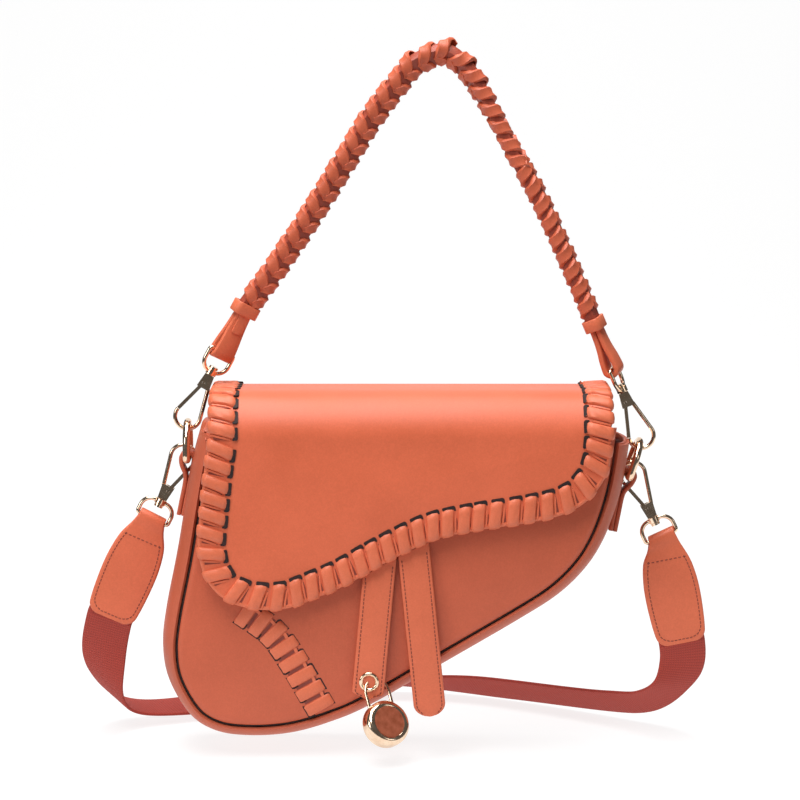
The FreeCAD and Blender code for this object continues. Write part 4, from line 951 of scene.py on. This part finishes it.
# The gusset's open end on the right is turned over and sewn down in a narrow hem.
HEM_TURN, HEM_FOLD, HEM_PAST_END, HEM_SINK, HEM_STITCH_INSET = 4.6, 0.8, 0.6, 0.4, 1.6
hem_top, hem_down = gusset_run[-1], (gusset_run[-3] - gusset_run[-1]).normalized()
hem_out = left_of(hem_down)
hem_rounds = []
for level in range(2, GUSSET_LEVELS - 2):
    depth, inward = gusset_level(level)
    hem_rounds.append(hem_top + Vector((0, depth, 0)) - hem_out * inward)
stations, hem_row = [], []
for at, way in zip(hem_rounds, headings(hem_rounds)):
    face = hem_down.cross(way)
    middle = at + hem_down * (HEM_TURN / 2 - HEM_PAST_END) - face * HEM_SINK
    stations.append((middle, hem_down * (HEM_TURN / 2), face * HEM_FOLD))
    hem_row.append(at + hem_down * (HEM_TURN - HEM_STITCH_INSET) + face * (HEM_FOLD - HEM_SINK + STITCH_LIFT))
outfit(band("gusset_end_hem", stations), shaded_gusset_leather, "coral_leather", "bag")
stitched("gusset_end_stitches", [hem_row], hem_out, "bag")


# Handle
# A padded strap, whip-laced along both edges from one row of holes down its middle: from each hole one turn
# goes over the outer edge as a slanted leaf and one over the inner edge as a short square. It twists on its
# way over the arch, so that its right leg is seen edge-on.
HANDLE_WIDTH, HANDLE_DEPTH, HANDLE_RISE = 10.5, 6.0, 141.0
HANDLE_TURNS = 34
LOOP_RISE, END_LENGTH = 14.0, 26.0
ARCH_SHARES = [
    (0.0, 0.0), (0.095, 0.178), (0.212, 0.417), (0.349, 0.718), (0.4365, 0.880), (0.483, 0.951),
    (0.562, 1.000), (0.6146, 0.965), (0.661, 0.885), (0.758, 0.664), (0.854, 0.4325), (0.956, 0.137),
    (1.0, 0.0),
]
LEFT_TWIST, RIGHT_TWIST, TWIST_START, TWIST_END = 25.0, 110.0, 0.42, 0.75
LACED_BACK_FROM = 0.72


def clasp_line(name):
    """Where a clasp's swivel is, on the pattern, and the way its post points."""
    swivel = joints[f"{name}_swivel"]
    return pattern(swivel["pos_m"]), Vector(swivel["axis"])


def broad_way(along, share):
    """The direction of the handle's width where it runs along a direction, at a share of its length."""
    part = gradual((share - TWIST_START) / (TWIST_END - TWIST_START))
    twist = math.radians(LEFT_TWIST + (RIGHT_TWIST - LEFT_TWIST) * part)
    return -left_of(along) * math.cos(twist) - FORWARD * math.sin(twist)


keepers = []
for name in ("handle_left", "handle_right"):
    swivel_at, post = clasp_line(name)
    keepers.append(swivel_at + post * (LOOP_RISE + END_LENGTH))
ARCH = smooth_run([keepers[0].lerp(keepers[1], x) + UP * (HANDLE_RISE * z) for x, z in ARCH_SHARES], 681)
arch_ways = headings(ARCH)
arch_last = len(ARCH) - 1
# The core is the same coral dyed much darker: painted shade where it shows between the lace turns.
shaded_core_leather = coral_leather("handle_core_leather", (0.36, 0.066, 0.035))
# The handle's thong is the lacing thong dyed darker: painted shade, as the handle stands in shade.
shaded_handle_thong = coral_leather("handle_thong_leather", (0.60, 0.122, 0.055), depth=0.6)
CORE_INSET = 0.2
core_stations = []
for i in range(0, arch_last + 1, 4):
    wide = broad_way(arch_ways[i], i / arch_last)
    face = arch_ways[i].cross(wide) * (HANDLE_DEPTH / 2)
    core_stations.append((ARCH[i], wide * (HANDLE_WIDTH / 2 - CORE_INSET), face))
core = outfit(band("handle_strap", core_stations), shaded_core_leather, "coral_leather", "handle")
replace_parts(core, "handle_core")

LEAF_ACROSS = [
    (-0.5, -0.8), (-0.5, 0.4), (-0.38, 1.0), (0.0, 0.72), (0.38, 1.0), (0.5, 0.4), (0.5, -0.8)]
OUTER_WIDTH, OUTER_SLOPE, OUTER_RISE = 6.5, 1.05, 1.4
INNER_WIDTH, INNER_SLOPE, INNER_RISE = 6.2, 0.8, 1.6
EDGE_CLEAR, FACE_CLEAR, TURN_START = 0.6, 0.3, -0.9
edge, deep = HANDLE_WIDTH / 2 + EDGE_CLEAR, HANDLE_DEPTH / 2 + FACE_CLEAR
ROUND_EDGE = [
    (90, 1.0), (62, 0.9), (36, 0.55), (12, 0.35), (-12, 0.3), (-36, 0.35), (-62, 0.55), (-90, 0.9)]


def turn_path(side, slope, width):
    """Half a turn of lace, from the holes round one edge to the back: places, facings and widths."""
    stops = [
        (-0.5, deep - 1.0, 0.0, 1.0, 1.0, 0.3), (0.5, deep, 0.0, 1.0, 1.0, 0.62),
        (1.8, deep + 0.1, 0.0, 1.0, 1.0, 0.9)]
    for degrees, climb in ROUND_EDGE:
        x, y = math.cos(math.radians(degrees)), math.sin(math.radians(degrees))
        stops.append((edge - deep + deep * x, deep * y, x, y, climb, 1.0))
    stops += [(1.4, -deep, 0.0, -1.0, 1.0, 0.85), (0.0, 0.8 - deep, 0.0, -1.0, 1.0, 0.4)]
    path, rise, last = [], TURN_START, stops[0]
    for stop in stops:
        x, y, face_x, face_y, climb, share = stop
        rise += math.hypot(x - last[0], y - last[1]) * climb * slope
        path.append(((side * x, y, rise), (side * face_x, face_y), width * share))
        last = stop
    return path[::side]


def laced_back(path):
    """The same turn leaning the other way."""
    return [((x, y, -z), facing, width) for (x, y, z), facing, width in reversed(path)]


def wrap_unit(name, path, rise):
    """A unit turn of thong along a path."""
    run = [Vector(spot) / 1000 for spot, _, _ in path]
    corners = []
    for at, way, (_, facing, width) in zip(run, headings(run), path):
        out = Vector((*facing, 0)).normalized()
        out = (out - way * out.dot(way)).normalized()
        across = out.cross(way)
        corners += [
            at + across * (z * width / 1000) + out * (h * rise / 1000) for z, h in reversed(LEAF_ACROSS)]
    return add_piece(name, corners, grid_faces(len(run), len(LEAF_ACROSS)))


turn_spots, back_spots = [], []
for k in range(HANDLE_TURNS):
    back = (k + 1) / (HANDLE_TURNS + 1) > LACED_BACK_FROM
    i = round(arch_last * (k + (1.5 if back else 0.5)) / (HANDLE_TURNS + 1))
    wide = broad_way(arch_ways[i], i / arch_last)
    (back_spots if back else turn_spots).append((place(*ARCH[i]), -wide, wide.cross(arch_ways[i])))
outer_turn, inner_turn = turn_path(1, OUTER_SLOPE, OUTER_WIDTH), turn_path(-1, INNER_SLOPE, INNER_WIDTH)
for name, path, rise, spots in (
        ("handle_outer_turns", outer_turn, OUTER_RISE, turn_spots),
        ("handle_inner_turns", inner_turn, INNER_RISE, turn_spots),
        ("handle_outer_back_turns", laced_back(outer_turn), OUTER_RISE, back_spots),
        ("handle_inner_back_turns", laced_back(inner_turn), INNER_RISE, back_spots)):
    unit = wrap_unit("wrap_unit", path, rise)
    copies(name, unit, spots, shaded_handle_thong, "coral_thong", "handle", (0.02, 0.03, 0.03))
    bpy.data.objects.remove(unit)
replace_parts(bpy.data.objects["handle_outer_turns"], "handle_lacing")
# A near-black disc at each lace hole: painted shade in the hole.
HOLE_RADIUS, HOLE_AT, HOLE_CORNERS, HOLE_PROUD = 0.9, Vector((-0.7, 0, -0.9)), 10, 0.25
hole_edge = [(p.x, p.z) for p in circle(HOLE_AT, RIGHT, UP, HOLE_RADIUS, HOLE_CORNERS)]
hole_unit = patch_unit("hole_unit", [hole_edge[::-1]], deep + HOLE_PROUD, deep + PATCH_SINK)
copies("handle_holes", hole_unit, turn_spots + back_spots, painted_shade_and_edge_dark, "coral_leather", "handle")
bpy.data.objects.remove(hole_unit)


# Handle ends and keepers
# The strap's bare ends fold round the loops' bars and come back on themselves, open like a drop at the bar.
# A keeper of doubled leather is pulled over each join. The lace's own end hangs from under the left one.
END_STRIP, END_TOP_WIDTH, END_BAR_WIDTH, END_TAPER = 2.7, 8.6, 12.0, 22.0
KEEPER_LENGTH, KEEPER, KEEPER_CORNER = 6.6, 1.8, 2.4
KEEPER_FLATS = [half + 1.2 - KEEPER_CORNER for half in (HANDLE_WIDTH / 2, HANDLE_DEPTH / 2)]
KEEPER_SIDES, DROP_ROUND = 48, 3.25
DROP_SIDE = [(1.65, 26.5), (1.62, 21.0), (1.7, 16.0), (2.1, 11.0), (2.85, 6.0)]
END_PATH = DROP_SIDE + arc(DROP_ROUND, range(0, -181, -30)) + [(-y, z) for y, z in reversed(DROP_SIDE)]
TAIL_PATH = [(3.1, 24.0, 3.1), (3.2, 19.0, 3.1), (3.35, 15.0, 3.05), (3.5, 12.6, 3.0), (3.45, 12.2, 2.7)]
TAIL_ASIDE, TAIL_HALF = 0.4, 0.6
for name, share, turn, keeper_at in (("left", 0.0, 1, keepers[0]), ("right", 1.0, -1, keepers[1])):
    swivel_at, post = clasp_line(f"handle_{name}")
    bar = swivel_at + post * LOOP_RISE
    wide = broad_way(post * turn, share)
    front = post.cross(wide)
    end_run = smooth_run([bar + front * y + post * z for y, z in END_PATH], 110)
    stations = []
    for at, way in zip(end_run, headings(end_run)):
        up_end = min(1.0, max(0.0, (at - bar).dot(post) / END_TAPER))
        half = (END_BAR_WIDTH + (END_TOP_WIDTH - END_BAR_WIDTH) * up_end) / 2
        stations.append((at, wide * half, way.cross(wide) * (END_STRIP / 2)))
    handle_end = outfit(band(f"{name}_handle_fold", stations), tongue_leather, "coral_leather", "handle")
    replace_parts(handle_end, f"{name}_handle_end")
    stations = []
    for k in range(KEEPER_SIDES):
        x, y = math.cos(math.tau * k / KEEPER_SIDES), math.sin(math.tau * k / KEEPER_SIDES)
        at = keeper_at + wide * (math.copysign(KEEPER_FLATS[0], x) + KEEPER_CORNER * x)
        at += front * (math.copysign(KEEPER_FLATS[1], y) + KEEPER_CORNER * y)
        stations.append((at, post * (KEEPER_LENGTH / 2), (wide * x + front * y) * (KEEPER / 2)))
    keeper = band(f"{name}_keeper_band", stations, closed=True)
    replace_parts(outfit(keeper, thong_leather, "coral_thong", "handle"), f"{name}_keeper")
    if name == "left":
        toward = math.copysign(1.0, front.dot(FORWARD))
        tail = band("left_lace_tail", [
            (bar + front * (y * toward) + post * z + wide * TAIL_ASIDE, wide * half, front * TAIL_HALF)
            for y, z, half in TAIL_PATH])
        outfit(tail, thong_leather, "coral_thong", "handle")


# Strap ends
# A broad tab of doubled leather ends the shoulder strap on each side: one piece folded over the loop's bar,
# its layers sewn together round the edge and once across below the fold, with the webbing's end in between.
STRAP_LOOP_RISE = 12.0
LEFT_END_LEAN, RIGHT_END_LEAN = 203.5, 168.5
TAB_SPREAD, TAB_REACH, TAB_CORNER, TAB_EASE = 30.0, 60.0, 5.5, 14.0
TAB_LAYER, TAB_LEATHER, TAB_FOLD, TAB_SKIVED = 1.9, 1.8, 2.35, 0.55
TAB_STITCH_INSET, TAB_CROSS_STITCH = 2.4, 10.8
FOLD_START, FOLD_NECK, TAB_STEPS = 5.0, 2.6, 26
END_TAB_SHARES = [
    (0.0, 0.50), (0.10, 0.62), (0.24, 0.86), (0.42, 0.98), (0.60, 1.00), (0.80, 0.96), (0.93, 0.90),
    (1.0, 0.86)]
tab_sides = smooth_steps([
    Vector((far * TAB_REACH, 0, half * TAB_SPREAD / 2)) for far, half in END_TAB_SHARES])


def tab_half(far, inset=0.0):
    """A strap end's half-width at a distance from the bar, with its lower corners rounded."""
    far = max(0.0, far)
    after = next((k for k, p in enumerate(tab_sides) if p.x >= far), len(tab_sides) - 1)
    low, high = tab_sides[max(0, after - 1)], tab_sides[after]
    gap = high.x - low.x or 1.0
    half = low.z + (high.z - low.z) * (far - low.x) / gap - inset
    corner = max(0.0, TAB_CORNER - max(0.0, TAB_REACH - inset - far))
    return half - TAB_CORNER + math.sqrt(max(0.0, TAB_CORNER ** 2 - corner ** 2))


straight = TAB_REACH - TAB_CORNER
FAR_STEPS = [TAB_REACH - TAB_CORNER * (1 - math.cos(turn)) for turn in quarter_turn(8)]
FAR_STEPS += [straight - (straight - FOLD_START) * k / TAB_STEPS for k in range(1, TAB_STEPS + 1)]
front_layer = [(far, -TAB_LAYER) for far in FAR_STEPS] + [(FOLD_NECK, -TAB_FOLD)]
TAB_PROFILE = front_layer + arc(TAB_FOLD, range(-90, -271, -20)) + [(far, -y) for far, y in front_layer[::-1]]
stitch_fars = [far for far in reversed(FAR_STEPS) if TAB_CROSS_STITCH <= far < TAB_REACH - TAB_STITCH_INSET]
stitch_fars.append(TAB_REACH - TAB_STITCH_INSET)
STRAP_ENDS = {}
for name, lean in (("left", LEFT_END_LEAN), ("right", RIGHT_END_LEAN)):
    swivel_at, post = clasp_line(f"strap_{name}")
    bar, hang = swivel_at + post * STRAP_LOOP_RISE, leaning(lean)
    across, bar_across = -left_of(hang), -left_of(post)
    STRAP_ENDS[name] = (bar + hang * TAB_REACH, hang)
    tab_run = [bar + hang * far + Vector((0, y, 0)) for far, y in TAB_PROFILE]
    stations = []
    for at, way, (far, _) in zip(tab_run, headings(tab_run), TAB_PROFILE):
        side = bar_across.lerp(across, gradual(far / TAB_EASE)).normalized()
        stations.append((at, side * tab_half(far), way.cross(side) * (TAB_LEATHER / 2)))
    for end in (0, -1):
        at, side, face = stations[end]
        stations[end] = (at, side, face * TAB_SKIVED)
    tab = outfit(band(f"{name}_strap_tab", stations), tongue_leather, "coral_leather", "bag")
    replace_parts(tab, f"{name}_strap_end")
    for label, outward in (("front", FORWARD), ("back", -FORWARD)):
        face = bar + outward * (TAB_LAYER + TAB_LEATHER / 2 + STITCH_LIFT)
        left_row, right_row = (
            [face + hang * far + across * (way * tab_half(far, TAB_STITCH_INSET)) for far in stitch_fars]
            for way in (-1, 1))
        rows = [left_row + right_row[::-1], [left_row[0], right_row[0]]]
        stitched(f"{name}_tab_{label}_stitches", rows, outward, "bag")
bpy.data.objects.remove(stitch_unit)


# Webbing strap
# One long band of ribbed coral webbing goes from the left strap end down to the table, lies in a slack bow
# behind the bag and comes up to the right strap end. Both its ends are sewn inside the leather.
STRAP_WIDTH, WEBBING, STRAP_TUCK = 25.4, 1.8, 23.0
STRAP_SPAN, STRAP_BACK, STRAP_TABLE = 165.0, 124.0, 187.0
STRAP_ROUTE_SHARES = [
    (-0.987, 0.125, -0.754), (-0.996, 0.169, -0.812), (-1.000, 0.226, -0.880), (-0.988, 0.278, -0.940),
    (-0.960, 0.359, -0.986), (-0.905, 0.423, -1.017), (-0.815, 0.484, -1.026), (-0.645, 0.590, -1.026),
    (-0.430, 0.760, -1.024), (-0.180, 0.940, -1.018), (0.060, 1.000, -1.012), (0.300, 0.860, -1.012),
    (0.540, 0.650, -1.009), (0.776, 0.383, -0.999), (0.831, 0.319, -0.980), (0.869, 0.262, -0.954),
    (0.898, 0.206, -0.927), (0.927, 0.157, -0.893), (0.943, 0.133, -0.851), (0.948, 0.101, -0.805),
]
STRAP_EASE, LEAN_REACH, LEFT_HOLD, RIGHT_HOLD = 300, 75.0, 64.0, 60.0
LEFT_LIE_LEAN, RIGHT_LIE_LEAN, LEFT_TURN = math.radians(-10), math.radians(38), 1.3
LEAN_CHANGE, LEAN_CHANGE_LENGTH = 0.35, 0.3


def eased(chain):
    """The chain again without its short kinks, as stiff webbing lies."""
    for _ in range(STRAP_EASE):
        middles = [(a + b * 2 + c) / 4 for a, b, c in zip(chain, chain[1:], chain[2:])]
        chain = [chain[0]] + middles + [chain[-1]]
    return chain


(left_foot, left_hang), (right_foot, right_hang) = STRAP_ENDS["left"], STRAP_ENDS["right"]
route = [Vector((x * STRAP_SPAN, y * STRAP_BACK, z * STRAP_TABLE)) for x, y, z in STRAP_ROUTE_SHARES]
strap_run = eased(smooth_steps([left_foot] + route + [right_foot], 16))
strap_run = [left_foot - left_hang * STRAP_TUCK] + strap_run + [right_foot - right_hang * STRAP_TUCK]
strap_marks = travelled(strap_run)
stations = []
for at, way, mark in zip(strap_run, headings(strap_run), strap_marks):
    from_end = min(mark, strap_marks[-1] - mark) - STRAP_TUCK
    rightness = gradual((mark / strap_marks[-1] - LEAN_CHANGE) / LEAN_CHANGE_LENGTH)
    lean = LEFT_LIE_LEAN + (RIGHT_LIE_LEAN - LEFT_LIE_LEAN) * rightness
    lean *= gradual(from_end / LEAN_REACH)
    lie = Vector((way.y, -way.x, 0)).normalized() * math.cos(lean) + UP * math.sin(lean)
    held, freed = -left_of(right_hang), gradual(from_end / RIGHT_HOLD)
    if mark < strap_marks[-1] / 2:
        held, freed = left_of(left_hang), min(1.0, max(0.0, from_end / LEFT_HOLD))
        lie += FORWARD * (LEFT_TURN * freed * gradual(2 - from_end / LEFT_HOLD))
    lie = held.lerp(lie, freed)
    wide = (lie - way * lie.dot(way)).normalized() * (STRAP_WIDTH / 2)
    stations.append((at, wide, way.cross(wide).normalized() * (WEBBING / 2)))
webbing = band("webbing_strap", stations)
weave_uv = webbing.data.uv_layers.new(name="weave")
for corner in webbing.data.loops:
    station, edge_place = divmod(corner.vertex_index, len(STRIP_SECTION))
    weave_uv.data[corner.index].uv = (strap_marks[station], STRIP_SECTION[edge_place][0] * STRAP_WIDTH / 2)
RIB_PITCH, YARN_PITCH, YARN_SLANT = 1.7, 1.3, 1.3
webbing_finish = Finish("coral_webbing")
weave_at = webbing_finish.node("ShaderNodeUVMap", {"uv_map": "weave"})
along, over = (
    webbing_finish.node("ShaderNodeSeparateXYZ", None, {0: weave_at}, output=axis) for axis in "XY")
rib = (along * (math.tau / RIB_PITCH)).maths("SINE")
yarn = (over * (math.tau / YARN_PITCH) + rib * YARN_SLANT).maths("SINE")
weave_height = rib * 0.17 + yarn * 0.17 + 0.5
dust = webbing_finish.noise(900.0)
coral_webbing = webbing_finish.set(
    Base_Color=webbing_finish.dye(
        weave_height * 0.85 + dust * 0.15, (0.15, (0.280, 0.028, 0.017)), (0.85, (0.485, 0.053, 0.033))),
    Roughness=dust * 0.1 + 0.72,
    Normal=webbing_finish.bump(weave_height, 0.55, 0.0005),
)
outfit(webbing, coral_webbing, "coral_webbing", "bag")
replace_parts(webbing, "strap_webbing")
